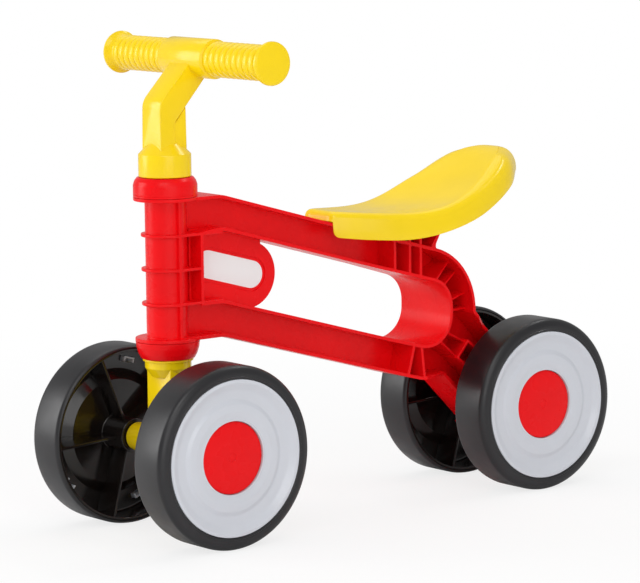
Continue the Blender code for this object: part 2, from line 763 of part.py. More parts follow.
def shin_relief():
    """What narrows the flange below the window to the width of the leg's front wall."""
    start = REAR - LOWER_ARM_END_AHEAD
    end = REAR - LEG_TOP_AHEAD
    top = arm_foot(start) + FLANGE * 2.5
    normal = Vector((1, 1)).normalized()
    front = Vector((REAR, WHEEL_RADIUS)) - normal * (LEG_FRONT_REACH - FLANGE - 0.001)
    knee = crossing(front, (1, -1), (end, top), (1, 0))
    drop = WHEEL_RADIUS + FLANGE
    band = prism('shin_band', [(start - FLANGE, top), knee, (knee[0] + drop, top - drop),
                               (knee[0] + drop / 2, top - drop), (start - FLANGE, top - FLANGE * 7)],
                 FRONT_SHIN_HALF * 0.75, BEND_HALF + CUT_OVERRUN)
    far = BEND_HALF + CUT_OVERRUN * 2
    wedge = [(BEND_HALF, start), (FRONT_SHIN_HALF, end), (FRONT_SHIN_HALF, REAR + drop), (far, REAR + drop),
             (far, start)]
    return as_mesh(keep(band, prism('shin_wedge', wedge, 0, HEAD_BOTTOM, 'Z')))


def seat_screw_places():
    return [(side * SEAT_SCREW_X, REAR - ahead) for ahead in SEAT_SCREWS_AHEAD for side in (-1, 1)]


def make_upper_bush():
    foot = HEAD_TOP + GAP
    top = foot + UPPER_BUSH_HEIGHT
    sleeve_foot = foot - SLEEVE_LENGTH
    profile = [(UPPER_BUSH_TOP_RADIUS, top), (TOP_RING_RADIUS - 0.0012, top - 0.0030),
               (TOP_RING_RADIUS, top - 0.0062), (TOP_RING_RADIUS, foot), (SLEEVE_OUTER, foot),
               (SLEEVE_OUTER, sleeve_foot), (SLEEVE_INNER, sleeve_foot), (SLEEVE_INNER, top)]
    return turned('upper_head_bush', profile)


def make_lower_bush():
    """The lower cup with its sleeve, and the pocket that stops the steering lug at both ends."""
    top = HEAD_BOTTOM - GAP
    foot = HEAD_BOTTOM - LOWER_BUSH_HEIGHT
    profile = [(SLEEVE_OUTER, top + SLEEVE_LENGTH), (SLEEVE_OUTER, top), (TOP_RING_RADIUS, top),
               (TOP_RING_RADIUS - 0.0006, top - 0.0050), (TOP_RING_RADIUS - 0.0022, top - 0.0105),
               (LOWER_BUSH_FOOT_RADIUS, foot), (SLEEVE_INNER, foot), (SLEEVE_INNER, top + SLEEVE_LENGTH)]
    bush = turned('lower_head_bush', profile)
    reach = STOP_LUG_REACH + RUNNING_GAP * 2
    half = STOP_LUG_HALF + RUNNING_GAP
    sweep = math.degrees(STEERING_LIMIT)
    far = math.degrees(math.asin(half / reach))
    edge = arc((0, 0), reach, 90 + sweep + far, 90 - sweep - far)
    root = []
    for side in (1, -1):
        turn = Matrix.Rotation(-side * STEERING_LIMIT, 2)
        root.append(tuple(turn @ Vector((side * half, STEERER_RADIUS * 0.4))))
    height = STOP_LUG_HEIGHT + RUNNING_GAP * 2
    pocket = prism('stop_pocket', [*edge, *root], foot - 0.001, FORK_TOP + height, 'Z')
    return cut(bush, pocket)


def make_fork():
    """Steerer, collar, post and axle tube in one moulding, with the lug that limits the steering."""
    disc_foot = FORK_TOP - FORK_DISC_THICKNESS
    collar_foot = disc_foot - FORK_COLLAR_HEIGHT
    steerer_top = CUP_FOOT + CUP_BORE_DEPTH - GAP * 2
    blend = 0.0085
    profile = [(0, steerer_top), (STEERER_RADIUS - 0.001, steerer_top), (STEERER_RADIUS, steerer_top - 0.001),
               (STEERER_RADIUS, FORK_TOP), (FORK_DISC_RADIUS, FORK_TOP), (FORK_DISC_RADIUS, disc_foot),
               (FORK_COLLAR_RADIUS, disc_foot), (FORK_COLLAR_RADIUS, collar_foot),
               (FORK_COLLAR_RADIUS - blend * 0.75, collar_foot - blend), (0, collar_foot - blend)]
    fork = turned('fork', profile, ring=False)
    post = box('fork_post', (-FORK_POST_HALF_X, -FORK_POST_HALF_Y, WHEEL_RADIUS),
               (FORK_POST_HALF_X, FORK_POST_HALF_Y, collar_foot + 0.003))
    tube = cylinder('fork_axle_tube', FORK_AXLE_TUBE_RADIUS, -FORK_AXLE_TUBE_HALF, FORK_AXLE_TUBE_HALF,
                    at=(0, 0, WHEEL_RADIUS), steps=TUBE_STEPS)
    lug = box('stop_lug', (-STOP_LUG_HALF, STEERER_RADIUS * 0.8, FORK_TOP - 0.001),
              (STOP_LUG_HALF, STOP_LUG_REACH, FORK_TOP + STOP_LUG_HEIGHT))
    join(fork, post, tube, lug)
    far = FORK_AXLE_TUBE_HALF + CUT_OVERRUN
    cut(fork, cylinder('front_axle_bore', AXLE_BORE, -far, far, at=(0, 0, WHEEL_RADIUS)))
    pilot_end = bar_screw_seat() - BAR_SCREW_LENGTH - SCREW_GAP * 2
    outside = STEERER_RADIUS + CUT_OVERRUN
    cut(fork, cylinder('steerer_pilot', SCREW_RADIUS + SCREW_GAP, pilot_end, outside, 'Y',
                       (0, 0, bar_screw_z()), SCREW_STEPS))
    return fork


def bar_screw_z():
    return CUP_FOOT + BAR_SCREW_HEIGHT


def grip_profile():
    """Half of the bar's profile, from the middle to the end: raised centre, ribs, flare and flange."""
    ribs_start = BAR_CENTRE_HALF + 0.0009
    half = [(BAR_CENTRE_RADIUS, BAR_CENTRE_HALF), (GRIP_RADIUS - GRIP_GROOVE, ribs_start)]
    ribs = int((BAR_HALF_LENGTH - GRIP_END_LENGTH - ribs_start) / GRIP_RIB_PITCH)
    for rib in range(ribs):
        half.append((GRIP_RADIUS, ribs_start + (rib + 0.5) * GRIP_RIB_PITCH))
        half.append((GRIP_RADIUS - GRIP_GROOVE, ribs_start + (rib + 1) * GRIP_RIB_PITCH))
    end = BAR_HALF_LENGTH
    half += [(GRIP_FLANGE_RADIUS - 0.0012, end - GRIP_FLANGE_WIDTH - 0.0012),
             (GRIP_FLANGE_RADIUS, end - GRIP_FLANGE_WIDTH),
             (GRIP_FLANGE_RADIUS, end - 0.0012), (GRIP_FLANGE_RADIUS - 0.0012, end), (0, end)]
    return half


def make_handlebar():
    cup_top = CUP_FOOT + CUP_HEIGHT
    profile = [(0, cup_top + CUP_TAPER), (CUP_RADIUS - CUP_TAPER, cup_top + CUP_TAPER), (CUP_RADIUS, cup_top),
               (CUP_RADIUS, CUP_FOOT), (0, CUP_FOOT)]
    handlebar = turned('handlebar', profile, ring=False)
    rear = STEM_DEPTH - STEM_FRONT
    foot = cup_top - 0.003
    axis = Vector((BAR_SETBACK, BAR_HEIGHT))
    tip = axis + Vector(STEM_TIP_REAR)
    rise = BAR_HEIGHT - cup_top
    bend = [(-STEM_FRONT, foot, 0),
            (-STEM_FRONT, BAR_HEIGHT - rise * STEM_BEND_FRONT_SHARE, STEM_FRONT_RADIUS),
            (*(axis + Vector(STEM_TIP_FRONT)), 0), (*axis, 0), (*tip, 0),
            (rear, BAR_HEIGHT - rise * STEM_BEND_REAR_SHARE, STEM_REAR_RADIUS), (rear, foot, 0)]
    stem = prism('stem', rounded(bend), -STEM_HALF, STEM_HALF)
    post = box('stem_post', (-STEM_POST_HALF, rear - 0.002, foot),
               (STEM_POST_HALF, rear + STEM_POST_DEPTH, cup_top + STEM_POST_TOP))
    near, far = rear - 0.004, rear + STEM_POST_DEPTH + CUT_OVERRUN
    slope = [(y, tip.y + STEM_POST_SLOPE * (y - tip.x)) for y in (near, far)]
    above = tip.y + STEM_POST_TOP
    slope += [(far, above), (near, above)]
    cut(post, prism('stem_post_slope', slope, -STEM_HALF, STEM_HALF))
    bar = turned('bar', [(0, BAR_HALF_LENGTH)] + list(reversed(grip_profile()[:-1]))
                 + [(radius, -along) for radius, along in grip_profile()], steps=BAR_STEPS, ring=False)
    bar.rotation_euler = (0, math.pi / 2, 0)
    bar.location = (0, BAR_SETBACK, BAR_HEIGHT)
    join(handlebar, stem, as_mesh(post), as_mesh(bar))
    cut(handlebar, cylinder('steerer_bore', STEERER_RADIUS + GAP, CUP_FOOT - CUT_OVERRUN,
                            CUP_FOOT + CUP_BORE_DEPTH, 'Z', steps=TUBE_STEPS))
    place = (0, 0, bar_screw_z())
    outside = CUP_RADIUS + CUT_OVERRUN
    cut(handlebar, cylinder('bar_screw_hole', SCREW_RADIUS + SCREW_GAP, STEERER_RADIUS / 2, outside, 'Y',
                            place, SCREW_STEPS))
    cut(handlebar, cylinder('bar_screw_sink', SCREW_HEAD_RADIUS + SCREW_GAP, bar_screw_seat(), outside, 'Y',
                            place))
    return handlebar


def bar_screw_seat():
    return CUP_RADIUS - SCREW_HEAD_HEIGHT - 0.0008


def screw_shape(name, length):
    """A pan-headed screw along +Z: its head's seat at z = 0 and its point at z = length."""
    profile = [(0, length), (SCREW_RADIUS * 0.4, length), (SCREW_RADIUS, length - 0.0015), (SCREW_RADIUS, 0),
               (SCREW_HEAD_RADIUS, 0), (SCREW_HEAD_RADIUS, -SCREW_HEAD_HEIGHT * 0.45),
               (SCREW_HEAD_RADIUS * 0.72, -SCREW_HEAD_HEIGHT), (0, -SCREW_HEAD_HEIGHT)]
    return turned(name, profile, steps=SCREW_STEPS, ring=False)


def tyre_profile():
    edge, full, face = TYRE_EDGE, WHEEL_RADIUS, TYRE_FACE_RADIUS
    shoulder = TYRE_HALF_WIDTH - TYRE_SHOULDER
    lip_radius = DISC_RADIUS + GAP + 0.0002
    return [(face, TYRE_HALF_WIDTH), (full - TYRE_SHOULDER / 2, TYRE_HALF_WIDTH - TYRE_SHOULDER * 0.38),
            (full, shoulder), (full, edge - TYRE_HALF_WIDTH), (full - TYRE_THICKNESS, -TYRE_HALF_WIDTH),
            (full - TYRE_THICKNESS, CORE_FACE + GAP), (lip_radius, CORE_FACE + GAP),
            (lip_radius, TYRE_HALF_WIDTH)]


def make_tyre():
    return turned('tyre', tyre_profile(), steps=WHEEL_STEPS)


def make_core():
    """The wheel's black core: rim, stepped wall, hub and webs, with slots for the disc's hooks."""
    inner_edge = -TYRE_HALF_WIDTH + 0.0006
    wall_inside = CORE_FACE - CORE_WALL
    floor_inside = CORE_FLOOR - CORE_WALL
    profile = [(CORE_RADIUS, CORE_FACE), (CORE_RADIUS, inner_edge), (CORE_RADIUS - CORE_WALL, inner_edge),
               (CORE_RADIUS - CORE_WALL, wall_inside), (CORE_STEP_OUTER - 0.001, wall_inside),
               (CORE_STEP_INNER - 0.001, floor_inside), (HUB_RADIUS, floor_inside),
               (HUB_RADIUS, -HUB_INNER_END), (AXLE_BORE, -HUB_INNER_END), (AXLE_BORE, CORE_FLOOR),
               (CORE_STEP_INNER, CORE_FLOOR), (CORE_STEP_OUTER, CORE_FACE)]
    core = turned('wheel_core', profile, steps=WHEEL_STEPS)
    sunk = CORE_WALL / 2
    web_outline = [(HUB_RADIUS - 0.003, -WEB_INNER_EDGE), (CORE_RADIUS - sunk, -WEB_INNER_EDGE),
                   (CORE_RADIUS - sunk, wall_inside + sunk), (CORE_STEP_OUTER - 0.0005, wall_inside + sunk),
                   (CORE_STEP_INNER - 0.0005, floor_inside + sunk), (HUB_RADIUS - 0.003, floor_inside + sunk)]
    barb_edge = HOOK_RADIUS + HOOK_THICKNESS / 2 + HOOK_BARB + HOOK_SLOT_GAP
    for number in range(WEB_COUNT):
        angle = WEB_PHASE + number * math.tau / WEB_COUNT
        web = prism('wheel_web_%d' % number, web_outline, -WEB_THICKNESS / 2, WEB_THICKNESS / 2)
        web.data.transform(Matrix.Rotation(angle - math.pi / 2, 4, 'Z'))
        join(core, web)
        slot = box('hook_slot_%d' % number,
                   (HOOK_RADIUS - HOOK_THICKNESS / 2 - HOOK_SLOT_GAP, -HOOK_WIDTH / 2 - HOOK_SLOT_GAP,
                    wall_inside - 0.002), (barb_edge, HOOK_WIDTH / 2 + HOOK_SLOT_GAP, CORE_FACE + 0.002))
        slot.data.transform(Matrix.Rotation(angle + math.pi / WEB_COUNT, 4, 'Z'))
        cut(core, slot)
    return as_mesh(core)


def make_disc():
    """The white disc: rim, sloped ring, valley and crown round the cap's seat, with snap hooks."""
    face = TYRE_HALF_WIDTH
    foot = CORE_FACE + GAP
    crown = face - DISC_CROWN_DEPTH
    valley = face - DISC_VALLEY_DEPTH
    seat = face - CAP_RECESS - CAP_THICKNESS
    cap_wall = CAP_RADIUS + GAP
    profile = [(DISC_RADIUS, face), (DISC_RADIUS, foot),
               (DISC_RADIUS - DISC_WALL, foot), (DISC_RADIUS - DISC_WALL, face - 0.0040),
               (DISC_VALLEY_OUTER - 0.0010, valley - DISC_WALL), (CAP_SPIGOT + GAP, seat - DISC_WALL),
               (CAP_SPIGOT + GAP, seat), (cap_wall, seat), (cap_wall, crown),
               (DISC_VALLEY_INNER - DISC_CROWN_DEPTH, crown), (DISC_VALLEY_INNER, valley),
               (DISC_VALLEY_OUTER, valley)]
    disc = turned('wheel_disc', profile, steps=WHEEL_STEPS)
    inner = HOOK_RADIUS - HOOK_THICKNESS / 2
    outer = HOOK_RADIUS + HOOK_THICKNESS / 2
    catch = CORE_FACE - CORE_WALL - GAP
    root = foot + DISC_WALL
    hook_outline = [(inner, root), (inner, catch - HOOK_TIP), (outer, catch - HOOK_TIP),
                    (outer + HOOK_BARB, catch), (outer, catch), (outer, root)]
    for number in range(WEB_COUNT):
        angle = WEB_PHASE + (number + 0.5) * math.tau / WEB_COUNT
        hook = prism('disc_hook_%d' % number, hook_outline, -HOOK_WIDTH / 2, HOOK_WIDTH / 2)
        hook.data.transform(Matrix.Rotation(angle - math.pi / 2, 4, 'Z'))
        join(disc, hook)
    return as_mesh(disc)


def make_cap():
    """The red cap that snaps into the disc's centre and covers the push nut."""
    face = TYRE_HALF_WIDTH - CAP_RECESS
    under = face - CAP_THICKNESS + GAP
    inside = CAP_SPIGOT - CAP_SPIGOT_WALL
    profile = [(0, face), (CAP_RADIUS, face), (CAP_RADIUS, under), (CAP_SPIGOT, under),
               (CAP_SPIGOT, under - DISC_WALL), (inside, under - DISC_WALL), (inside, under), (0, under)]
    return as_mesh(turned('hub_cap', profile, steps=WHEEL_STEPS, ring=False))


def make_ring(name, inner, outer, thickness, bevel=0.0):
    """A flat ring about Z that starts at z = 0, with a bevelled outer edge if one is asked for."""
    profile = [(outer, thickness - bevel), (outer, 0), (inner, 0), (inner, thickness)]
    if bevel > 0:
        profile.append((outer - bevel, thickness))
    return as_mesh(turned(name, profile, steps=SMALL_STEPS))


def seat_outline():
    """The seat's rim as (half width, y) points from the middle of the nose to the tail."""
    nose = REAR - SEAT_NOSE_AHEAD
    corner_half, corner_along = SEAT_NOSE_CORNER
    points = [(SEAT_NOSE_FLAT * share, nose) for share in (0, 0.5, 1)] + [(corner_half, nose + corner_along)]
    first, last = SEAT_WIDTHS[0][0], SEAT_WIDTHS[-1][0]
    for step in range(SEAT_STATIONS + 1):
        along = first + (last - first) * math.sin(math.pi / 2 * step / SEAT_STATIONS)
        points.append((curve_through(SEAT_WIDTHS, along), nose + along))
    return points + [(0.0, REAR + SEAT_TAIL_BEYOND)]


def seat_top(y):
    """Height of the seat's crest at a place along the frame."""
    return curve_through(SEAT_CREST, REAR - y)


def seat_foot(y):
    """Height of the lower edge of the seat's skirt."""
    return curve_through(SEAT_FOOT, REAR - y)


def seat_inset(y):
    """How far inside the rim the crest runs: further in towards the tail."""
    t = min(max((y - REAR + SEAT_WIDENING_AHEAD) / SEAT_WIDENING_LENGTH, 0), 1)
    return SEAT_EDGE + (SEAT_TAIL_EDGE - SEAT_EDGE) * t * t * (3 - 2 * t)


def seat_loops():
    """Loops of points from the foot of the skirt over its shoulder to the crest."""
    half = seat_outline()
    outline = half + [(-x, y) for x, y in reversed(half[1:-1])]
    spine_start = half[0][1] + SEAT_NOSE_FLAT
    spine_end = half[-1][1] - SEAT_TAIL_EDGE - SEAT_NOSE_FLAT
    loops = []
    for inward, drop in SEAT_SHOULDER:
        loop = []
        for x, y in outline:
            spine = min(max(y, spine_start), spine_end)
            away = Vector((x, y - spine))
            share = 1 - min(seat_inset(y) * inward / away.length, 0.5)
            here = spine + away.y * share
            loop.append((away.x * share, here, seat_top(here) - (seat_top(y) - seat_foot(y)) * drop))
        loops.append(loop)
    return loops


def dish_depth(y):
    """How far the middle of the seat lies below its crest: nothing at nose and tail."""
    nose, tail = REAR - SEAT_NOSE_AHEAD, REAR + SEAT_TAIL_BEYOND - SEAT_TAIL_EDGE
    return SEAT_DISH * max(0, min(1, (y - nose) / SEAT_DISH_FADE, (tail - y) / SEAT_DISH_FADE))


def seat_surface():
    """The seat's outside as an open surface: skirt, shoulder and dished top."""
    shape = bmesh.new()
    rows = [[shape.verts.new(point) for point in loop] for loop in seat_loops()]
    for lower, upper in zip(rows, rows[1:]):
        for i in range(len(lower)):
            shape.faces.new((lower[i - 1], lower[i], upper[i], upper[i - 1]))
    crest = rows[-1]
    tail = len(crest) // 2
    before = [crest[2], crest[1], crest[0], crest[-1], crest[-2]]
    for i in range(3, tail):
        x, y, z = crest[i].co
        across = [crest[i]]
        for share in (0.5, 0, -0.5):
            across.append(shape.verts.new((x * share, y, z - dish_depth(y) * (1 - share * share))))
        across.append(crest[-i])
        for k in range(len(across) - 1):
            shape.faces.new((before[k], before[k + 1], across[k + 1], across[k]))
        before = across
    for k in range(len(before) - 1):
        shape.faces.new((before[k], before[k + 1], crest[tail]))
    bmesh.ops.recalc_face_normals(shape, faces=shape.faces)
    mesh = bpy.data.meshes.new('seat')
    shape.to_mesh(mesh)
    shape.free()
    return mesh


def make_seat():
    """The seat: its surface thickened inwards, with bosses for its screws and a notch for the frame."""
    seat = new_object('seat', seat_surface())
    wall = seat.modifiers.new('Wall', 'SOLIDIFY')
    wall.thickness = SEAT_WALL
    wall.offset = -1
    wall.use_even_offset = True
    foot = PEDESTAL_TOP + GAP
    for number, (x, y) in enumerate(seat_screw_places()):
        top = seat_top(y) - SEAT_DISH - SEAT_WALL / 2
        join(seat, cylinder('seat_boss_%d' % number, SEAT_BOSS_RADIUS, foot, top, 'Z', (x, y, 0)))
    for number, (x, y) in enumerate(seat_screw_places()):
        depth = PEDESTAL_TOP + SEAT_SCREW_LENGTH - FLANGE + SCREW_GAP * 2
        cut(seat, cylinder('seat_boss_hole_%d' % number, SCREW_RADIUS + SCREW_GAP, foot - FLANGE, depth, 'Z',
                           (x, y, 0), SCREW_STEPS))
    nose = REAR - SEAT_NOSE_AHEAD
    side = ARM_HALF + SEAT_NOTCH_GAP
    cut(seat, box('seat_notch', (-side, nose - CUT_OVERRUN, seat_foot(nose) - CUT_OVERRUN),
                  (side, nose + SEAT_NOTCH_DEPTH, arm_top(nose) + SEAT_NOTCH_GAP)))
    return seat


def copy_of(pattern, name):
    return new_object(name, pattern.data)


def add_wheel(label, axis, side, patterns, materials):
    for kind, pattern in patterns.items():
        piece = copy_of(pattern, '%s_%s' % (label, kind))
        finish(piece, axis, materials[kind])
        piece.rotation_euler = (0, side * math.pi / 2, 0)


def add_axle(label, parent, y, half_track, seat_half, washer, nut, steel):
    """A rod with a spacer washer at each end of its seat and a push nut outside each wheel."""
    at = (0, y, WHEEL_RADIUS)
    end = half_track + CORE_FLOOR + AXLE_END_BEYOND_CORE
    rod = cylinder(label + '_axle', AXLE_RADIUS, -end, end, at=at)
    finish(rod, parent, steel)
    for side, word in ((1, 'left'), (-1, 'right')):
        ring = copy_of(washer, '%s_%s_washer' % (label, word))
        finish(ring, parent, steel)
        ring.rotation_euler = (0, side * math.pi / 2, 0)
        ring.location = (side * (seat_half + GAP), y, WHEEL_RADIUS)
        cap = copy_of(nut, '%s_%s_push_nut' % (label, word))
        finish(cap, parent, steel)
        cap.rotation_euler = (0, side * math.pi / 2, 0)
        cap.location = (side * (half_track + CORE_FLOOR + GAP), y, WHEEL_RADIUS)


def main():
    red = make_material('red_plastic', RED, 0.38)
    yellow = make_material('yellow_plastic', YELLOW, 0.36)
    black = make_material('tyre_rubber', TYRE_BLACK, 0.48)
    gloss = make_material('core_plastic', CORE_BLACK, 0.16)
    white = make_material('white_plastic', WHITE, 0.30)
    steel = make_material('zinc_steel', STEEL, 0.35, 1.0)

    root = make_axis('ride_on_origin', None, (0, -WHEELBASE / 2, 0))
    steering = make_axis('steering_axis', root)

    finish(make_frame(), root, red)
    finish(make_upper_bush(), root, red)
    finish(make_lower_bush(), root, red)
    finish(make_seat(), root, yellow)
    finish(make_fork(), steering, yellow)
    finish(make_handlebar(), steering, yellow)

    screw = as_mesh(screw_shape('seat_screw', SEAT_SCREW_LENGTH))
    for number, (x, y) in enumerate(seat_screw_places(), start=1):
        piece = copy_of(screw, 'seat_screw_%d' % number)
        finish(piece, root, steel)
        piece.location = (x, y, PEDESTAL_TOP - FLANGE - GAP)
    bar_screw = as_mesh(screw_shape('handlebar_screw', BAR_SCREW_LENGTH))
    finish(bar_screw, steering, steel)
    bar_screw.rotation_euler = (math.pi / 2, 0, 0)
    bar_screw.location = (0, bar_screw_seat() + GAP, bar_screw_z())

    patterns = {'tyre': as_mesh(make_tyre()), 'wheel_core': make_core(), 'wheel_disc': make_disc(),
                'hub_cap': make_cap()}
    materials = {'tyre': black, 'wheel_core': gloss, 'wheel_disc': white, 'hub_cap': red}
    washer = make_ring('washer', AXLE_RADIUS + GAP, WASHER_RADIUS, WASHER_THICKNESS)
    nut = make_ring('push_nut', AXLE_RADIUS + GAP, NUT_RADIUS, NUT_THICKNESS, bevel=0.0012)
    add_axle('front', steering, 0, FRONT_TRACK_HALF, FORK_AXLE_TUBE_HALF, washer, nut, steel)
    add_axle('rear', root, REAR, REAR_TRACK_HALF, AXLE_BOSS_HALF, washer, nut, steel)
    for side, word in ((1, 'left'), (-1, 'right')):
        axis = make_axis('front_%s_wheel_axis' % word, steering, (side * FRONT_TRACK_HALF, 0, WHEEL_RADIUS))
        add_wheel('front_' + word, axis, side, patterns, materials)
        axis = make_axis('rear_%s_wheel_axis' % word, root, (side * REAR_TRACK_HALF, REAR, WHEEL_RADIUS))
        add_wheel('rear_' + word, axis, side, patterns, materials)
    for pattern in (screw, washer, nut, *patterns.values()):
        bpy.data.objects.remove(pattern, do_unlink=True)


clear_scene()
PARTS = new_collection('foot_to_floor_ride_on')
CUTTERS = new_collection('cutters')
main()
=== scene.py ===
"""Foot-to-floor ride-on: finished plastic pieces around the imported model, and the stage for its photograph.

Lengths are metres and angles degrees unless a name says otherwise. The toy faces -Y, its rider's left is +X.
Turned shapes are drawn as (radius, height) profiles about +Z, side views as (y, z) points and plans as (x, y)
points, where y counts back from the steering axis. A corner's third number is the radius that rounds it.
"""
import json
import math

import bmesh
import bpy
from bpy.props import FloatProperty, FloatVectorProperty, IntProperty, PointerProperty
from mathutils import Matrix, Vector


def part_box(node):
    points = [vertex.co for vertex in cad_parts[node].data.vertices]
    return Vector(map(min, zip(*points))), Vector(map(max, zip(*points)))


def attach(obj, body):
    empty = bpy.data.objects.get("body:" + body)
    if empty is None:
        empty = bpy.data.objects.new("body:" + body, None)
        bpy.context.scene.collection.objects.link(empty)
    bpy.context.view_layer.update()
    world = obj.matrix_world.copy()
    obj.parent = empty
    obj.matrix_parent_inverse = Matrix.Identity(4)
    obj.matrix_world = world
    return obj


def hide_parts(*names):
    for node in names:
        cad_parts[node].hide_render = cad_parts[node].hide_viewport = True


bl_info = {
    "name": "Foot-to-Floor Ride-On",
    "version": (1, 0, 0),
    "blender": (4, 5, 0),
    "location": "View3D > Sidebar > Ride-On",
    "description": "Dresses the packed ride-on in moulded plastic and sets its photo stage",
    "category": "Object",
}

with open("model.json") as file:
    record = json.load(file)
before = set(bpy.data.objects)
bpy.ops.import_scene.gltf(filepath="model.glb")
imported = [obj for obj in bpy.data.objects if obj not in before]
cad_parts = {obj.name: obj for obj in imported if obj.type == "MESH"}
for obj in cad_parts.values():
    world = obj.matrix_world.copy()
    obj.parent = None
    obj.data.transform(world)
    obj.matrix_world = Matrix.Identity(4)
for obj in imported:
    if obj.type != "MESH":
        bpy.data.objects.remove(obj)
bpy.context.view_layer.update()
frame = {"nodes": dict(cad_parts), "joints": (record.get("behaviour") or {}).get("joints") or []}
JOINTS = {joint["name"]: joint for joint in frame["joints"]}
HEAD_Y = JOINTS["steering_turn"]["pos_m"][1]
WHEELS = {name[:-len("_wheel_spin")]: Vector(joint["pos_m"])
          for name, joint in JOINTS.items() if name.endswith("_wheel_spin")}
SHARP = math.radians(34)
TO_HEAD = Matrix.Translation((0, HEAD_Y, 0))
UPRIGHT, ALONG_X = Matrix.Identity(4), Matrix.Rotation(math.pi / 2, 4, "Y")


# Shape helpers

def as_mesh(shape):
    mesh = bpy.data.meshes.new("shape")
    shape.to_mesh(mesh)
    shape.free()
    return mesh


def mesh_from(shape):
    """A bmesh as a mesh whose faces point out."""
    bmesh.ops.remove_doubles(shape, verts=shape.verts, dist=0.000005)
    bmesh.ops.recalc_face_normals(shape, faces=shape.faces)
    return as_mesh(shape)


def placed(mesh, place):
    mesh.transform(place)
    return mesh


def sharpened(mesh, angle=SHARP):
    """A mesh that is smooth between its sharp edges."""
    mesh.shade_smooth()
    mesh.set_sharp_from_angle(angle=angle)
    return mesh


def add_object(name, mesh):
    thing = bpy.data.objects.new(name, mesh)
    bpy.context.scene.collection.objects.link(thing)
    return thing


def evaluated(thing, *helpers):
    """What an object's modifiers make of it, as a plain mesh. The object and its helpers go."""
    bpy.context.view_layer.update()
    mesh = bpy.data.meshes.new_from_object(thing.evaluated_get(bpy.context.evaluated_depsgraph_get()))
    for used in (thing, *helpers):
        bpy.data.objects.remove(used, do_unlink=True)
    return mesh


def piece(name, mesh, finish, body, replaced=(), angle=SHARP):
    """One finished piece: its finish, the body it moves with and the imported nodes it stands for."""
    thing = add_object(name, mesh)
    mesh.name = name
    mesh.materials.clear()
    mesh.materials.append(paint(finish))
    if angle:
        sharpened(mesh, angle)
    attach(thing, body)
    if replaced:
        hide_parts(*replaced)


def turned(profile, steps=96):
    """A profile turned about Z. It closes on itself unless it starts and ends on the axis."""
    shape = bmesh.new()
    rows = []
    for radius, height in profile:
        angles = [math.tau * step / steps for step in range(steps if radius else 1)]
        rows.append([shape.verts.new((radius * math.cos(a), radius * math.sin(a), height)) for a in angles])
    pairs = list(zip(rows, rows[1:]))
    if profile[0][0] or profile[-1][0]:
        pairs.append((rows[-1], rows[0]))
    for upper, lower in pairs:
        for i in range(steps):
            j = (i + 1) % steps
            corners = [upper[i % len(upper)], upper[j % len(upper)], lower[j % len(lower)], lower[i % len(lower)]]
            shape.faces.new(list(dict.fromkeys(corners)))
    return mesh_from(shape)


def fillet(corners, step):
    """The outline through (a, b, radius) corners, each rounded with an arc in steps of so many degrees."""
    outline = []
    count = len(corners)
    for i, (a, b, radius) in enumerate(corners):
        here = Vector((a, b))
        if radius == 0:
            outline.append((a, b))
            continue
        back = (Vector(corners[i - 1][:2]) - here).normalized()
        ahead = (Vector(corners[(i + 1) % count][:2]) - here).normalized()
        half = back.angle(ahead) / 2
        middle = here + (back + ahead).normalized() * radius / math.sin(half)
        arm = here + back * radius / math.tan(half) - middle
        side = math.copysign(1, ahead.x * back.y - ahead.y * back.x)
        sweep = math.pi - 2 * half
        steps = max(2, math.ceil(math.degrees(sweep) / step))
        outline += [tuple(middle + Matrix.Rotation(side * sweep * k / steps, 2) @ arm) for k in range(steps + 1)]
    return outline


def arc(centre, radius, start, end, step):
    """Points along an arc in degrees, ends included."""
    count = max(2, math.ceil(abs(end - start) / step))
    angles = [math.radians(start + (end - start) * i / count) for i in range(count + 1)]
    return [(centre[0] + radius * math.cos(a), centre[1] + radius * math.sin(a)) for a in angles]


def extruded(corners, way):
    """A flat outline swept along a vector."""
    shape = bmesh.new()
    face = shape.faces.new([shape.verts.new(corner) for corner in corners])
    moved = bmesh.ops.extrude_face_region(shape, geom=[face])["geom"]
    bmesh.ops.translate(shape, vec=way, verts=[part for part in moved if isinstance(part, bmesh.types.BMVert)])
    return ordered(mesh_from(shape))


def side_prism(outline, low, high):
    """A (y, z) outline as a solid between two X planes."""
    return extruded([(low, y + HEAD_Y, z) for y, z in outline], (high - low, 0, 0))


def plan_prism(outline, low, high):
    """An (x, y) outline as a solid between two heights."""
    return extruded([(x, y + HEAD_Y, low) for x, y in outline], (0, 0, high - low))


def block(low, high):
    """A box between two corners."""
    shape = bmesh.new()
    middle = [(a + b) / 2 for a, b in zip(low, high)]
    size = [b - a for a, b in zip(low, high)]
    bmesh.ops.create_cube(shape, size=1, matrix=Matrix.Translation(middle) @ Matrix.Diagonal((*size, 1)))
    return mesh_from(shape)


def rod(radius, low, high, place, turn=ALONG_X, steps=48):
    """A cylinder to cut with."""
    return placed(turned([(0, low), (radius, low), (radius, high), (0, high)], steps),
                  Matrix.Translation(place) @ turn)


def merged(*meshes):
    """Several meshes as one, without joining their surfaces."""
    shape = bmesh.new()
    for mesh in meshes:
        shape.from_mesh(mesh)
    return as_mesh(shape)


def ordered(mesh):
    """The same mesh with its corners and faces in a fixed order, which an extrusion or a Boolean doesn't keep."""
    corners = sorted(mesh.vertices, key=lambda corner: tuple(round(c, 7) for c in corner.co))
    rank = {corner.index: i for i, corner in enumerate(corners)}
    faces = []
    for polygon in mesh.polygons:
        ring = [rank[i] for i in polygon.vertices]
        first = ring.index(min(ring))
        faces.append(ring[first:] + ring[:first])
    result = bpy.data.meshes.new("ordered")
    result.from_pydata([corner.co for corner in corners], [], sorted(faces))
    return result


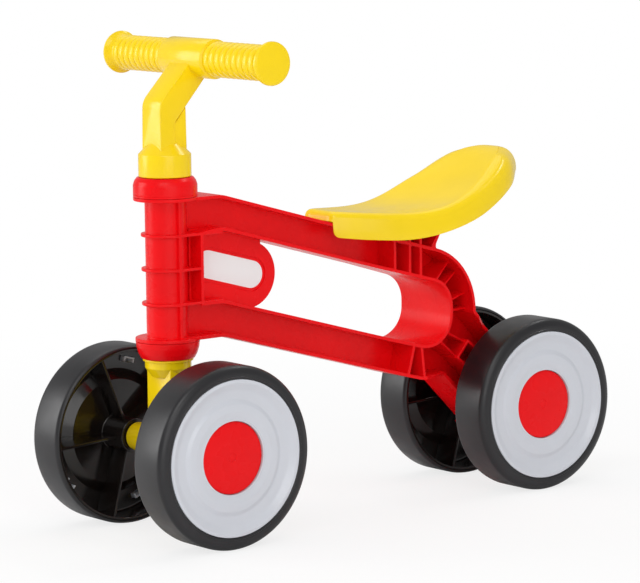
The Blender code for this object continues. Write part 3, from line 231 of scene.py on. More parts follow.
def boolean(mesh, tools, operation="DIFFERENCE", in_order=True):
    """A mesh joined with or cut by others."""
    target = add_object("shape", mesh)
    helpers = []
    for tool in tools:
        helper = add_object("tool", tool)
        helper.hide_render = True
        step = target.modifiers.new("step", "BOOLEAN")
        step.operation = operation
        step.object = helper
        helpers.append(helper)
    result = evaluated(target, *helpers)
    return ordered(result) if in_order else result


def softened(mesh, width, segments=3, angle=32, weld=0.0):
    """A mesh with its sharp outer edges rounded, once corners closer than weld have been joined."""
    shape = bmesh.new()
    shape.from_mesh(mesh)
    if weld:
        bmesh.ops.remove_doubles(shape, verts=shape.verts, dist=weld)
    shape.normal_update()
    edges = [edge for edge in shape.edges
             if edge.is_manifold and edge.is_convex and edge.calc_face_angle() > math.radians(angle)]
    bmesh.ops.bevel(shape, geom=edges, offset=width, segments=segments, profile=0.5, affect="EDGES",
                    miter_outer="ARC", clamp_overlap=False)
    return as_mesh(shape)


def weighted(mesh):
    """A mesh whose large faces stay flat to the eye and whose small ones take the bend."""
    thing = add_object("weighted", sharpened(mesh))
    step = thing.modifiers.new("normals", "WEIGHTED_NORMAL")
    step.keep_sharp = True
    step.weight = 100
    return evaluated(thing)


def both_sides(mesh):
    """A mesh and its copy on the other side of the middle plane."""
    other = placed(mesh.copy(), Matrix.Scale(-1, 4, (1, 0, 0)))
    other.flip_normals()
    return [mesh, other]


def curve_through(knots, value):
    """A smooth height through (place, height) knots."""
    count = len(knots)
    i = max(k for k in range(count - 1) if k == 0 or knots[k][0] <= value)
    slopes = []
    for k in (i, i + 1):
        before, after = knots[max(k - 1, 0)], knots[min(k + 1, count - 1)]
        slopes.append((after[1] - before[1]) / (after[0] - before[0]))
    (start, low), (end, high) = knots[i], knots[i + 1]
    span = end - start
    t = min(max((value - start) / span, 0), 1)
    bend = t * (1 - t) * ((1 - t) * slopes[0] - t * slopes[1]) * span
    return low + (high - low) * smooth_step(t) + bend


def smooth_step(t):
    return t * t * (3 - 2 * t)


def screw_places():
    """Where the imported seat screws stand, seen from above."""
    for name in ("seat_screw_1", "seat_screw_2", "seat_screw_3", "seat_screw_4"):
        low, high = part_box(name)
        yield (low + high) / 2


# Node trees

def fill_inputs(tree, node, inputs):
    """Sets a node's inputs, each to a value or to another node's output."""
    for name, value in inputs.items():
        if isinstance(value, bpy.types.NodeSocket):
            tree.links.new(value, node.inputs[name])
        else:
            node.inputs[name].default_value = value


def add_node(tree, kind, inputs=None, **settings):
    node = tree.nodes.new(kind)
    for name, value in settings.items():
        setattr(node, name, value)
    fill_inputs(tree, node, inputs or {})
    return node


def copy_tree(name, **inputs):
    """The start of a geometry node tree that copies a part, and the sockets of its inputs."""
    tree = bpy.data.node_groups.new(name, "GeometryNodeTree")
    for label, kind in {"Part": "Object", "Material": "Material", "Count": "Int", **inputs}.items():
        tree.interface.new_socket(label, in_out="INPUT", socket_type="NodeSocket" + kind)
    tree.interface.new_socket("Geometry", in_out="OUTPUT", socket_type="NodeSocketGeometry")
    return tree, add_node(tree, "NodeGroupInput").outputs


def end_tree(tree, given, line, turns=None):
    """Ends a tree: the part at each point of a line, as real geometry with the material that is given."""
    part = add_node(tree, "GeometryNodeObjectInfo", {"Object": given["Part"]})
    copies = add_node(tree, "GeometryNodeInstanceOnPoints", {
        "Points": line.outputs["Mesh"], "Instance": part.outputs["Geometry"], **(turns or {})})
    real = add_node(tree, "GeometryNodeRealizeInstances", {"Geometry": copies.outputs["Instances"]})
    made = add_node(tree, "GeometryNodeSetMaterial", {
        "Geometry": real.outputs["Geometry"], "Material": given["Material"]})
    add_node(tree, "NodeGroupOutput", {"Geometry": made.outputs["Geometry"]})
    return tree


def ring_tree():
    """Copies of a part in a ring about Z, each turned to face outwards."""
    tree, given = copy_tree("parts in a ring", Phase="Float")
    line = add_node(tree, "GeometryNodeMeshLine", {"Offset": (0, 0, 0), "Count": given["Count"]})
    index = add_node(tree, "GeometryNodeInputIndex").outputs["Index"]
    share = add_node(tree, "ShaderNodeMath", {0: index, 1: given["Count"]}, operation="DIVIDE")
    turn = add_node(tree, "ShaderNodeMath", {0: share.outputs[0], 1: math.tau, 2: given["Phase"]},
                    operation="MULTIPLY_ADD")
    angles = add_node(tree, "ShaderNodeCombineXYZ", {"Z": turn.outputs[0]})
    return end_tree(tree, given, line, {"Rotation": angles.outputs["Vector"]})


def row_tree():
    """Copies of a part in a row along Z."""
    tree, given = copy_tree("parts in a row", Start="Float", Pitch="Float")
    start, pitch = (add_node(tree, "ShaderNodeCombineXYZ", {"Z": given[label]}).outputs["Vector"]
                    for label in ("Start", "Pitch"))
    line = add_node(tree, "GeometryNodeMeshLine", {"Count": given["Count"], "Start Location": start, "Offset": pitch})
    return end_tree(tree, given, line)


def repeated(tree, part_mesh, finish, **values):
    """What a tree makes of one part, as a plain mesh."""
    part = add_object("part", part_mesh)
    part.hide_render = True
    holder = add_object("holder", bpy.data.meshes.new("holder"))
    step = holder.modifiers.new("repeat", "NODES")
    step.node_group = tree
    sockets = {item.name: item.identifier for item in tree.interface.items_tree if item.in_out == "INPUT"}
    for label, value in {"Part": part, "Material": paint(finish), **values}.items():
        step[sockets[label]] = value
    return sharpened(evaluated(holder, part))


# Materials

def shader(name):
    material = bpy.data.materials.get(name) or bpy.data.materials.new(name)
    material.use_nodes = True
    tree = material.node_tree
    tree.nodes.clear()
    surface = add_node(tree, "ShaderNodeBsdfPrincipled")
    add_node(tree, "ShaderNodeOutputMaterial", {"Surface": surface.outputs["BSDF"]})
    return material, tree, surface


def own_place(tree):
    return add_node(tree, "ShaderNodeTexCoord").outputs["Object"]


def noise(tree, place, scale, detail):
    return add_node(tree, "ShaderNodeTexNoise", {"Vector": place, "Scale": scale, "Detail": detail}).outputs[0]


def ranged(tree, value, low, high):
    """A noise value brought between two limits."""
    return add_node(tree, "ShaderNodeMapRange", {"Value": value, "From Min": 0.35, "From Max": 0.65, "To Min": low,
                                                 "To Max": high}).outputs["Result"]


def tinted(tree, value, colour, dark, pale):
    """A colour that wavers between a darker and a paler tint."""
    tints = [(*[min(c * share, 1) for c in colour], 1) for share in (dark, pale)]
    return add_node(tree, "ShaderNodeMix", {"A": tints[0], "B": tints[1], "Factor": ranged(tree, value, 0.0, 1.0)},
                    data_type="RGBA").outputs["Result"]


def plastic(name, colour, roughness, shine=0.3, mottle=0.04, grain=0.06, grain_scale=900.0, sheen_spots=0.04):
    """Moulded plastic: a slightly clouded colour, a fine mould grain and gloss that varies a little."""
    cloud_scale, spot_scale, grain_depth = 16.0, 55.0, 0.00006
    material, tree, surface = shader(name)
    place = own_place(tree)
    bump = add_node(tree, "ShaderNodeBump", {"Strength": grain, "Distance": grain_depth,
                                             "Height": noise(tree, place, grain_scale, 3.0)})
    fill_inputs(tree, surface, {
        "Base Color": tinted(tree, noise(tree, place, cloud_scale, 4.0), colour, 1 - mottle, 1 + mottle),
        "Roughness": ranged(tree, noise(tree, place, spot_scale, 3.0), roughness - sheen_spots,
                            roughness + sheen_spots),
        "Normal": bump.outputs["Normal"], "Specular IOR Level": shine})
    material.diffuse_color = (*colour, 1)
    return material


def metal(name, colour):
    """Zinc-plated steel with faint drawing marks."""
    material, tree, surface = shader(name)
    stretched = add_node(tree, "ShaderNodeMapping", {"Scale": (0.06, 1.0, 1.0), "Vector": own_place(tree)})
    marks = noise(tree, stretched.outputs["Vector"], 420.0, 3.0)
    fill_inputs(tree, surface, {"Metallic": 1.0, "Base Color": tinted(tree, marks, colour, 0.86, 1.1),
                                "Roughness": ranged(tree, marks, 0.24, 0.42)})
    return material


FINISHES = {
    "red": ("red moulded plastic", plastic, {"roughness": 0.28, "shine": 0.16}),
    "yellow": ("yellow moulded plastic", plastic, {"roughness": 0.22, "mottle": 0.03, "shine": 0.36}),
    "tyre": ("black tyre rubber", plastic,
             {"roughness": 0.36, "mottle": 0.1, "grain": 0.12, "grain_scale": 500.0, "shine": 0.45}),
    "core": ("gloss black plastic", plastic,
             {"roughness": 0.16, "mottle": 0.25, "grain": 0.04, "sheen_spots": 0.05, "shine": 0.5}),
    "white": ("white wheel plastic", plastic, {"roughness": 0.2, "mottle": 0.01, "grain": 0.03, "shine": 0.6}),
    "steel": ("zinc-plated steel", metal, {}),
    "label": ("blank label film", plastic, {"roughness": 0.22, "mottle": 0.006, "grain": 0.02}),
}


def paint(finish):
    """One of the toy's finishes, made the first time from its colour in the panel."""
    name, make, looks = FINISHES[finish]
    return bpy.data.materials.get(name) or make(name, getattr(bpy.context.scene.ride_on_colours, finish), **looks)


# Wheels, drawn about +Z with the outer face up

def tyre_mesh(size):
    """Smooth tread, wide rounded shoulder, a fine crease and a flat lip round the disc."""
    half, full = size.half_width, size.tread_radius
    lip, face = size.disc_radius + 0.0004, size.disc_radius + 0.0024
    core = full - size.tyre_wall
    profile = [(lip, half - 0.0085), (lip, half - 0.0006), (lip + 0.0006, half - 0.0001), (lip + 0.0014, half),
               (face - 0.0002, half), (face + 0.0001, half - 0.00035), (face + 0.0005, half - 0.0003)]
    for k in range(1, 11):
        angle = math.radians(90 - 9 * k)
        profile.append((face + 0.0007 + (full - face - 0.0007) * math.cos(angle) ** 0.9,
                        half - 0.0062 + 0.006 * math.sin(angle) ** 0.9))
    profile += [(full, half - 0.01), (full, 0.004 - half), (full - 0.0004, 0.002 - half),
                (full - 0.0014, 0.0006 - half), (full - 0.0022, 0.0001 - half), (core, -half), (core, half - 0.0085)]
    return turned(profile, size.steps)


def disc_mesh(size):
    """The white disc: rim, dished ring, valley, raised ring and the well round the red cap."""
    face, radius = size.half_width, size.disc_radius
    well, hole, seat = size.cap_radius + 0.0003, 0.0215, face - 0.0079
    return turned(fillet([
        (radius, face - 0.008, 0), (radius, face, 0.0007), (radius - 0.003, face, 0.002),
        (0.059, face - 0.004, 0.008), (0.0505, face - 0.0052, 0.0035), (0.0468, face - 0.0034, 0.003),
        (0.04, face - 0.0032, 0.006), (well + 0.002, face - 0.0044, 0.001), (well + 0.0012, face - 0.0041, 0.0005),
        (well, face - 0.0041, 0.0005), (well, seat, 0), (hole, seat, 0), (hole, face - 0.0103, 0),
        (0.057, face - 0.0071, 0.002), (radius - 0.0024, face - 0.0045, 0.001), (radius - 0.0024, face - 0.008, 0)],
        15), size.steps)


def cap_mesh(size):
    """The red cap with its gate mark in the middle and its spigot below."""
    face, radius = size.half_width - size.cap_recess, size.cap_radius
    under, spigot, bore = face - 0.0021, 0.0212, 0.0195
    return turned([
        (0, face - 0.0001), (0.003, face - 0.0001), (0.0033, face - 0.0004), (0.0038, face - 0.0004),
        (0.0041, face - 0.0001), (radius - 0.0018, face), (radius - 0.0008, face - 0.0002),
        (radius - 0.0002, face - 0.0007), (radius, face - 0.0014), (radius, under), (spigot, under),
        (spigot, under - 0.0026), (bore, under - 0.0026), (bore, under), (0, under)], size.steps)


def spread(size, between=False):
    """How webs, or what stands between them, repeat round the hub."""
    return {"Count": size.web_count,
            "Phase": math.radians(size.web_phase + (180 / size.web_count if between else 0))}


def core_mesh(size):
    """The glossy core: rim, stepped wall and hub, with webs and a slot for each snap hook."""
    rim, half, wall = size.tread_radius - size.tyre_wall - 0.0003, size.half_width, size.core_wall
    face, floor, hub_end = 0.011, 0.0055, -0.027
    body = turned(fillet([
        (rim, face, 0), (rim, 0.0006 - half, 0.0006), (rim - wall, 0.0006 - half, 0.0006),
        (rim - wall, face - wall, 0.002), (0.056, face - wall, 0.001), (0.047, floor - wall, 0.001),
        (size.hub_radius, floor - wall, 0.0015), (size.hub_radius, hub_end, 0.0008), (AXLE_BORE, hub_end, 0),
        (AXLE_BORE, floor, 0), (0.048, floor, 0), (0.057, face, 0)], 22), size.steps)
    slot = block((size.hook_radius - 0.0024, -0.0064, face - wall - 0.002),
                 (size.hook_radius + 0.003, 0.0064, face + 0.002))
    body = boolean(body, [repeated(ring_tree(), slot, "core", **spread(size, True))])
    side, outer = size.web_thickness / 2, rim - wall / 2
    web = block((size.hub_radius - 0.002, -side, -0.0175), (outer, side, floor - wall / 2))
    step = block((0.0475, -side, floor - wall), (outer, side, face - wall / 2))
    web = softened(boolean(web, [step], "UNION"), 0.0004)
    return merged(body, repeated(ring_tree(), web, "core", **spread(size)))


def hooks_mesh(size):
    """The disc's snap hooks, bent round three sides, which reach through the core's slots."""
    foot, end, half, leg = 0.013, 0.004, 0.0056, 0.0015
    inner, outer = size.hook_radius - 0.002, size.hook_radius + 0.0026
    outline = [(inner, -half), (outer, -half), (outer, half), (inner, half), (inner, half - leg),
               (outer - leg, half - leg), (outer - leg, leg - half), (inner, leg - half)]
    hook = softened(extruded([(a, b, end) for a, b in outline], (0, 0, foot - end)), 0.0003)
    return repeated(ring_tree(), hook, "white", **spread(size, True))


# Handlebar, fork and collars

AXLE_BORE = 0.0045
SLEEVE_BORE, SLEEVE, COLLAR = 0.0134, 0.0148, 0.028
SLEEVE_LENGTH = 0.028
STEM_HALF, STEM_FRONT, STEM_REAR, STEM_SLOPE = 0.0136, -0.0136, 0.0023, 1.17
CUP_FOOT, CUP_TOP, CUP_DOME, CUP_BORE, CUP_BORE_DEPTH = 0.3147, 0.3342, 0.011, 0.0135, 0.0184


def bar_mesh(size):
    """The straight bar: a smooth raised middle, ribbed grips and flared ends."""
    half, middle, flange = size.bar_half_length, size.middle_radius, size.flange_radius
    core = size.grip_radius - size.groove
    ribs_start = size.middle_half + 0.0004
    ribs_end = ribs_start + size.rib_count * size.rib_pitch
    half_profile = [(middle, 0.0), (middle, size.middle_half - 0.0012), (middle - 0.0003, size.middle_half - 0.0004),
                    (middle - 0.001, size.middle_half), (core, ribs_start + 0.0002), (core, ribs_end)]
    for k in range(1, 9):
        t = k / 8
        half_profile.append((core + (flange - core) * t ** 1.8, ribs_end + (half - 0.003 - ribs_end) * t))
    half_profile += [(flange, half - 0.0016), (flange - 0.0003, half - 0.0006), (flange - 0.0012, half - 0.0001),
                     (flange - 0.003, half), (0, half)]
    bar = turned([(radius, -along) for radius, along in reversed(half_profile)] + half_profile[1:], 72)
    ring_profile = []
    for k in range(9):
        angle = math.radians(180 * k / 8)
        ring_profile.append((core - 0.0004 + (size.groove + 0.0004) * math.sin(angle) ** 0.8,
                             -size.rib_pitch / 2 * math.cos(angle)))
    ring = turned(ring_profile + [(core - 0.0012, size.rib_pitch / 2), (core - 0.0012, -size.rib_pitch / 2)], 72)
    first = ribs_start + size.rib_pitch / 2
    rows = [repeated(row_tree(), ring.copy(), "yellow", Count=size.rib_count, Start=start, Pitch=pitch)
            for start, pitch in ((first, size.rib_pitch), (-first, -size.rib_pitch))]
    return placed(merged(bar, *rows), Matrix.Translation((0, HEAD_Y + size.bar_setback, size.bar_height)) @ ALONG_X)


def stem_mesh(size):
    """Cup, bent stem and the post behind it."""
    radius, bore_end = size.cup_radius, CUP_FOOT + CUP_BORE_DEPTH
    cup = turned(fillet([
        (0, CUP_TOP + CUP_DOME, 0), (radius - 0.0112, CUP_TOP + CUP_DOME, 0.001), (radius, CUP_TOP, 0.0015),
        (radius, CUP_FOOT, 0.0008), (CUP_BORE, CUP_FOOT, 0), (CUP_BORE, bore_end, 0), (0, bore_end, 0)], 12), 72)
    axis = Vector((size.bar_setback, size.bar_height))
    tip = axis + Vector((0.0017, -0.0165))
    foot = CUP_TOP - 0.003
    bend = fillet([(STEM_FRONT, foot, 0), (STEM_FRONT, size.bar_height - 0.036, 0.016),
                   (axis.x - 0.0152, axis.y - 0.0024, 0), (*axis, 0), (*tip, 0),
                   (STEM_REAR, size.bar_height - 0.0535, 0.006), (STEM_REAR, foot, 0)], 8)
    stem = side_prism(bend, -STEM_HALF, STEM_HALF)
    post_front, post_rear = STEM_REAR - 0.002, STEM_REAR + 0.0124
    top = tip.y + STEM_SLOPE * (post_rear - tip.x)
    post = side_prism([(post_front, foot), (post_rear, foot), (post_rear, min(top, CUP_TOP + 0.045)),
                       (post_front, tip.y + STEM_SLOPE * (post_front - tip.x))], -0.0125, 0.0125)
    # Left in the Boolean's own order, in which the gloss covers the whole front of the stem.
    return softened(boolean(placed(cup, TO_HEAD), [stem, post], "UNION", in_order=False), 0.0011)


def fork_mesh(size):
    """Steerer, disc, collar, post and axle tube."""
    steerer, disc, neck, tube_radius, tube_half = 0.013, 0.0222, 0.0203, 0.0125, 0.0485
    steerer_top, top = 0.3325, 0.1559
    foot = top - 0.0019
    collar = foot - 0.006
    core = placed(turned(fillet([
        (0, steerer_top, 0), (steerer, steerer_top, 0.001), (steerer, top, 0), (disc, top, 0.0005),
        (disc, foot, 0.0005), (neck, foot, 0.0004), (neck, collar, 0.001), (0.014, collar - 0.0085, 0),
        (0, collar - 0.0085, 0)], 18), 64), TO_HEAD)
    post = block((-0.0176, HEAD_Y - 0.0104, size.axle_height), (0.0176, HEAD_Y + 0.0104, collar + 0.003))
    tube = turned(fillet([(AXLE_BORE, -tube_half, 0), (tube_radius, -tube_half, 0.0008),
                          (tube_radius, tube_half, 0.0008), (AXLE_BORE, tube_half, 0)], 30), 64)
    tube = placed(tube, Matrix.Translation((0, HEAD_Y, size.axle_height)) @ ALONG_X)
    return softened(boolean(boolean(core, [post], "UNION"), [tube], "UNION"), 0.001)


def collar_meshes():
    """The red collars above and below the head tube, each with its sleeve."""
    foot, top, groove = 0.2973, 0.3143, 0.2992
    upper = turned(fillet([
        (SLEEVE_BORE, top, 0.0003), (0.0245, top, 0.0012), (0.0268, top - 0.003, 0.003),
        (COLLAR, top - 0.0068, 0.003), (COLLAR, groove + 0.0002, 0), (COLLAR - 0.0003, groove, 0),
        (COLLAR, groove - 0.0002, 0), (COLLAR, foot, 0.0003), (SLEEVE, foot, 0), (SLEEVE, foot - SLEEVE_LENGTH, 0),
        (SLEEVE_BORE, foot - SLEEVE_LENGTH, 0)], 12))
    top, foot = 0.1712, 0.1563
    lower = turned(fillet([
        (SLEEVE_BORE, top + SLEEVE_LENGTH, 0), (SLEEVE, top + SLEEVE_LENGTH, 0), (SLEEVE, top, 0),
        (COLLAR, top, 0.0003), (0.0274, top - 0.005, 0.004), (0.0258, top - 0.0105, 0.006), (0.0235, foot, 0.0012),
        (SLEEVE_BORE, foot, 0.0003)], 12))
    return placed(upper, TO_HEAD), placed(lower, TO_HEAD)


# Seat

SEAT_REAR = 0.3765
SEAT_NOSE = SEAT_REAR - 0.2105
SEAT_TAIL = SEAT_REAR + 0.0195
SEAT_WIDTHS = ((0.011, 0.0262), (0.054, 0.0428), (0.094, 0.054), (0.124, 0.0573), (0.154, 0.0556),
               (0.194, 0.044), (0.2235, 0.018))
SEAT_CREST = ((-0.0195, 0.3115), (0.000, 0.316), (0.02, 0.3108), (0.0565, 0.2893), (0.0965, 0.272),
              (0.1365, 0.2672), (0.2105, 0.2718))
SEAT_FOOT = ((-0.0195, 0.296), (0.012, 0.2835), (0.0565, 0.262), (0.0965, 0.2495), (0.1365, 0.2433),
             (0.1765, 0.245), (0.2105, 0.249))
NOSE_HALF, NOSE_STEPS, SIDE_STEPS = 0.015, 6, 44
NOSE_CORNER = ((0.0175, 0.0003), (0.0197, 0.0013), (0.0208, 0.0022), (0.0212, 0.0026), (0.0216, 0.0031),
               (0.0222, 0.0039), (0.0228, 0.0048), (0.0235, 0.006), (0.0242, 0.0074), (0.0253, 0.0096))
BESIDE_ARM, ARM_OVERLAP = 0.021, SEAT_NOSE + 0.012
SKIRT_ROWS, SKIRT_DRAFT, TAIL_BREADTH = 2, 0.001, 0.026


def seat_rim():
    """The rim, once round from the middle of the nose, as (x, y)."""
    half = [(NOSE_HALF * k / NOSE_STEPS, SEAT_NOSE) for k in range(NOSE_STEPS + 1)]
    half += [(x, SEAT_NOSE + y) for x, y in NOSE_CORNER]
    first, last = SEAT_WIDTHS[0][0], SEAT_WIDTHS[-1][0]
    for step in range(SIDE_STEPS + 1):
        along = first + (last - first) * math.sin(math.pi / 2 * step / SIDE_STEPS)
        half.append((curve_through(SEAT_WIDTHS, along), SEAT_NOSE + along))
    half += [(0.0145, SEAT_TAIL - 0.0042), (0.01, SEAT_TAIL - 0.002), (0.005, SEAT_TAIL - 0.0005),
             (0.0, SEAT_TAIL)]
    return half + [(-x, y) for x, y in reversed(half[1:-1])]


def seat_height(y, knots):
    return curve_through(knots, SEAT_REAR - y)


def seat_foot(x, y):
    """Height of the skirt's edge: on the arm at the nose, with a rounded corner beside it."""
    foot = seat_height(y, SEAT_FOOT)
    if y > ARM_OVERLAP:
        return foot
    if abs(x) < BESIDE_ARM:
        return max(foot, arm_line(y, ARM_TOP) + 0.0006)
    radius = 0.005
    left = min(max(radius - (y - SEAT_NOSE - 0.0026), 0), radius)
    return foot + radius - math.sqrt(radius * radius - left * left)


def seat_section(k, size, foot, top, tail):
    """How far in and how high row k runs: a drafted skirt with a round shoulder, which broadens at the tail."""
    if k <= SKIRT_ROWS:
        inward, height = SKIRT_DRAFT * k / SKIRT_ROWS, foot + (top - size.shoulder - foot) * k / SKIRT_ROWS
    else:
        angle = math.pi / 2 * (k - SKIRT_ROWS) / (size.shoulder_steps - SKIRT_ROWS)
        inward = SKIRT_DRAFT + size.shoulder * (1 - math.cos(angle))
        height = top - size.shoulder * (1 - math.sin(angle))
    angle = math.pi / 2 * k / size.shoulder_steps
    broad = TAIL_BREADTH * (1 - math.cos(angle)) ** 1.25
    low = top - (top - foot) * (1 - math.sin(angle)) ** 1.15
    return inward + (broad - inward) * tail, height + (low - height) * tail


def seat_rows(shape, size, rim, wall):
    """The rows of one skin from the skirt's edge over the shoulder, as far inside as the wall is thick."""
    for k in range(size.shoulder_steps + 1):
        rise, row = k / size.shoulder_steps, []
        for x, y in rim:
            middle = Vector((min(max(x, -0.009), 0.009), min(max(y, SEAT_NOSE + 0.015), SEAT_TAIL - 0.041)))
            away = Vector((x, y)) - middle
            tail = smooth_step(min(max((y - SEAT_REAR + 0.1) / 0.115, 0), 1))
            top = seat_height(y, SEAT_CREST)
            inward, height = seat_section(k, size, seat_foot(x, y), top, tail)
            beside_arm = abs(x) >= BESIDE_ARM and y < ARM_OVERLAP
            low_wall = min(wall, max(abs(x) - 0.0203, 0.0007)) if beside_arm else wall
            inset = low_wall + (wall - low_wall) * rise
            place = middle + away * (1 - min(inward / away.length, 0.5) - inset / away.length)
            row.append(shape.verts.new((place.x, place.y + HEAD_Y,
                                        seat_height(place.y, SEAT_CREST) - top + height - wall * rise)))
        yield row


def seat_skin(shape, size, rim, wall):
    """One skin of the shell with its dished top. Gives back its lowest row."""
    flat, fade_length = 11, 0.04
    rows = list(seat_rows(shape, size, rim, wall))
    for lower, upper in zip(rows, rows[1:]):
        for i in range(len(lower)):
            shape.faces.new((lower[i - 1], lower[i], upper[i], upper[i - 1]))
    crest = rows[-1]
    tail = len(crest) // 2
    before = [crest[k] for k in range(flat, -flat - 1, -1)]
    for i in range(flat + 1, tail):
        x, y, z = crest[i].co
        along = y - HEAD_Y
        fade = max(0.0, min(1.0, (along - SEAT_NOSE) / fade_length, (SEAT_TAIL - 0.026 - along) / fade_length))
        across = [crest[i]]
        for k in range(1, flat * 2):
            share = 1 - k / flat
            across.append(shape.verts.new((x * share, y, z - size.dish * fade * (1 - share * share))))
        across.append(crest[-i])
        for k in range(len(across) - 1):
            shape.faces.new((before[k], before[k + 1], across[k + 1], across[k]))
        before = across
    for k in range(len(before) - 1):
        shape.faces.new((before[k], before[k + 1], crest[tail]))
    return rows[0]


def seat_mesh(size):
    """The shell of skirt, rounded shoulder and dished top, with its screw bosses."""
    boss_foot, boss_radius, boss_bore = 0.2548, 0.005, 0.0021
    rim = seat_rim()
    shape = bmesh.new()
    outer, inner = seat_skin(shape, size, rim, 0.0), seat_skin(shape, size, rim, size.wall)
    for i in range(len(outer)):
        shape.faces.new((outer[i - 1], outer[i], inner[i], inner[i - 1]))
    solids = [softened(mesh_from(shape), 0.0006, angle=60)]
    for place in screw_places():
        top = seat_height(place.y - HEAD_Y, SEAT_CREST) - size.dish - size.wall / 2
        boss = turned(fillet([(boss_bore, boss_foot, 0), (boss_radius, boss_foot, 0.0004), (boss_radius, top, 0),
                              (boss_bore, top, 0)], 30), 32)
        solids.append(placed(boss, Matrix.Translation((place.x, place.y, 0))))
    return merged(*solids)


# Frame

REAR_AXLE = Vector((0.3765, 0.08))
ARM_BREAK, ARM_TOP, ARM_FOOT, ARM_FALL = 0.046, 0.2966, 0.1719, 0.284
ARM_END = REAR_AXLE.x - 0.1145
HEAD_FOOT, HEAD_TOP, HEAD_RINGS = 0.1715, 0.297, (0.2655, 0.2355, 0.2055)
PEDESTAL_TOP, PEDESTAL_REAR = 0.2545, REAR_AXLE.x - 0.09
LEG_REAR, LEG_FRONT, LEG_WALL = 0.0254, 0.0348, 0.0338
FLARE_HALF, PEDESTAL_HALF = 0.0355, 0.03
LABEL_FRONT, LABEL_REAR, LABEL_FLOOR = Vector((0.04, 0.2348)), Vector((0.088, 0.2215)), 0.0048
ARM_RIBS = ((0.14, False), (0.1255, True), (0.115, True))
LOWER_RIBS = ((0.1278, 12.3), (0.1119, -5.3))
BEND_FINS = ((30, 0.049, 0.08), (21, 0.056, 0.083), (6, 0.062, 0.088), (-3, 0.062, 0.088), (-22, 0.062, 0.095),
             (-32, 0.06, 0.093))
DOWN_BACK, LEG_NORMAL = Vector((1, -1)), Vector((1, 1)).normalized()
FAR, FARTHER = 0.06, 0.06 + 0.01


def arm_line(y, level):
    """Height of an arm's sloping edge behind its kink, where that edge is level with the head."""
    return level - ARM_FALL * (y - ARM_BREAK)


def crossing(point, direction, other, other_direction):
    """Where two lines in a plane cross."""
    reach = direction[0] * other_direction[1] - direction[1] * other_direction[0]
    gap = (other[0] - point[0], other[1] - point[1])
    along = (gap[0] * other_direction[1] - gap[1] * other_direction[0]) / reach
    return point[0] + along * direction[0], point[1] + along * direction[1]


def offset(corners, distance):
    """The same (a, b, radius) corners with every side moved out, and the arcs kept concentric."""
    count = len(corners)
    area = sum(corners[i - 1][0] * corners[i][1] - corners[i][0] * corners[i - 1][1] for i in range(count))
    side = math.copysign(1, area)
    moved = []
    for i, (a, b, radius) in enumerate(corners):
        here = Vector((a, b))
        coming = (here - Vector(corners[i - 1][:2])).normalized()
        going = (Vector(corners[(i + 1) % count][:2]) - here).normalized()
        out = [Vector((way.y, -way.x)) * side * distance for way in (coming, going)]
        place = crossing(here + out[0], coming, here + out[1], going)
        bulges = (coming.x * going.y - coming.y * going.x) * side > 0
        changed = radius + distance if bulges else radius - distance
        moved.append((*place, max(changed, 0) if radius else 0))
    return moved


def frame_corners(size):
    """The outer outline of arms, bend and leg, clockwise from the top of the head."""
    back = REAR_AXLE.x - 0.0525
    bend = (back, arm_line(back, ARM_TOP))
    tip = REAR_AXLE + DOWN_BACK.normalized() * 0.03
    leg_rear = crossing(REAR_AXLE + LEG_NORMAL * LEG_REAR, DOWN_BACK, tip, LEG_NORMAL)
    leg_front = crossing(REAR_AXLE - LEG_NORMAL * LEG_FRONT, DOWN_BACK, tip, LEG_NORMAL)
    rear_kink = crossing(bend, (0, -1), REAR_AXLE + LEG_NORMAL * LEG_REAR, DOWN_BACK)
    arm_end = (ARM_END, arm_line(ARM_END, ARM_FOOT))
    shin = crossing(REAR_AXLE - LEG_NORMAL * LEG_FRONT, DOWN_BACK, (0, arm_end[1]), (1, 0))
    front = -size.web / 2
    return [(front, ARM_TOP, 0), (ARM_BREAK, ARM_TOP, 0.03), (*bend, 0.0635), (*rear_kink, 0.002),
            (*leg_rear, 0.028), (*leg_front, 0.028), (*shin, 0.004), (*arm_end, 0.024),
            (ARM_BREAK, ARM_FOOT, 0.03), (front, ARM_FOOT, 0)]


def window_corners():
    """The opening between the arms, from the rib behind the head to the inside of the bend."""
    front, back, bend = 0.0247, REAR_AXLE.x - 0.083, 0.0265
    top, foot = ARM_TOP - 0.031, ARM_FOOT + 0.0325
    return [(front, top - 0.0025, 0), (ARM_BREAK, top, 0.03), (back, arm_line(back, top), bend),
            (back, arm_line(back, foot), bend), (ARM_BREAK, foot, 0.03), (front, foot, 0)]


def outline_prism(corners, low, high, distance=0.0):
    """The frame's outline or window, moved out by a distance, as a solid between two X planes."""
    return side_prism(fillet(offset(corners, distance) if distance else corners, 5), low, high)


def plan_solid(inset=0.0):
    """What the frame keeps in plan: narrow arms that flare out at the bend."""
    rear = REAR_AXLE.x
    half = [(0.0218, -0.02, 0), (0.0218, 0.0091, 0), (0.02, 0.09, 0), (0.02, rear - 0.1615, 0.05),
            (FLARE_HALF, rear - 0.1015, 0.05), (FLARE_HALF, rear - 0.049, 0.01),
            (PEDESTAL_HALF, rear - 0.039, 0.01), (PEDESTAL_HALF, rear + 0.08, 0)]
    return plan_prism(fillet([(x - inset, y, radius) for x, y, radius in half]
                             + [(inset - x, y, radius) for x, y, radius in reversed(half)], 6), 0.0, 0.32)


def plate(start, end, thickness, low, high):
    """A flat rib between two (y, z) points, from one X to another."""
    start, end = Vector(start), Vector(end)
    way = (end - start).normalized()
    side = Vector((-way.y, way.x)) * thickness / 2
    return side_prism([start + side, end + side, end - side, start - side], low, high)


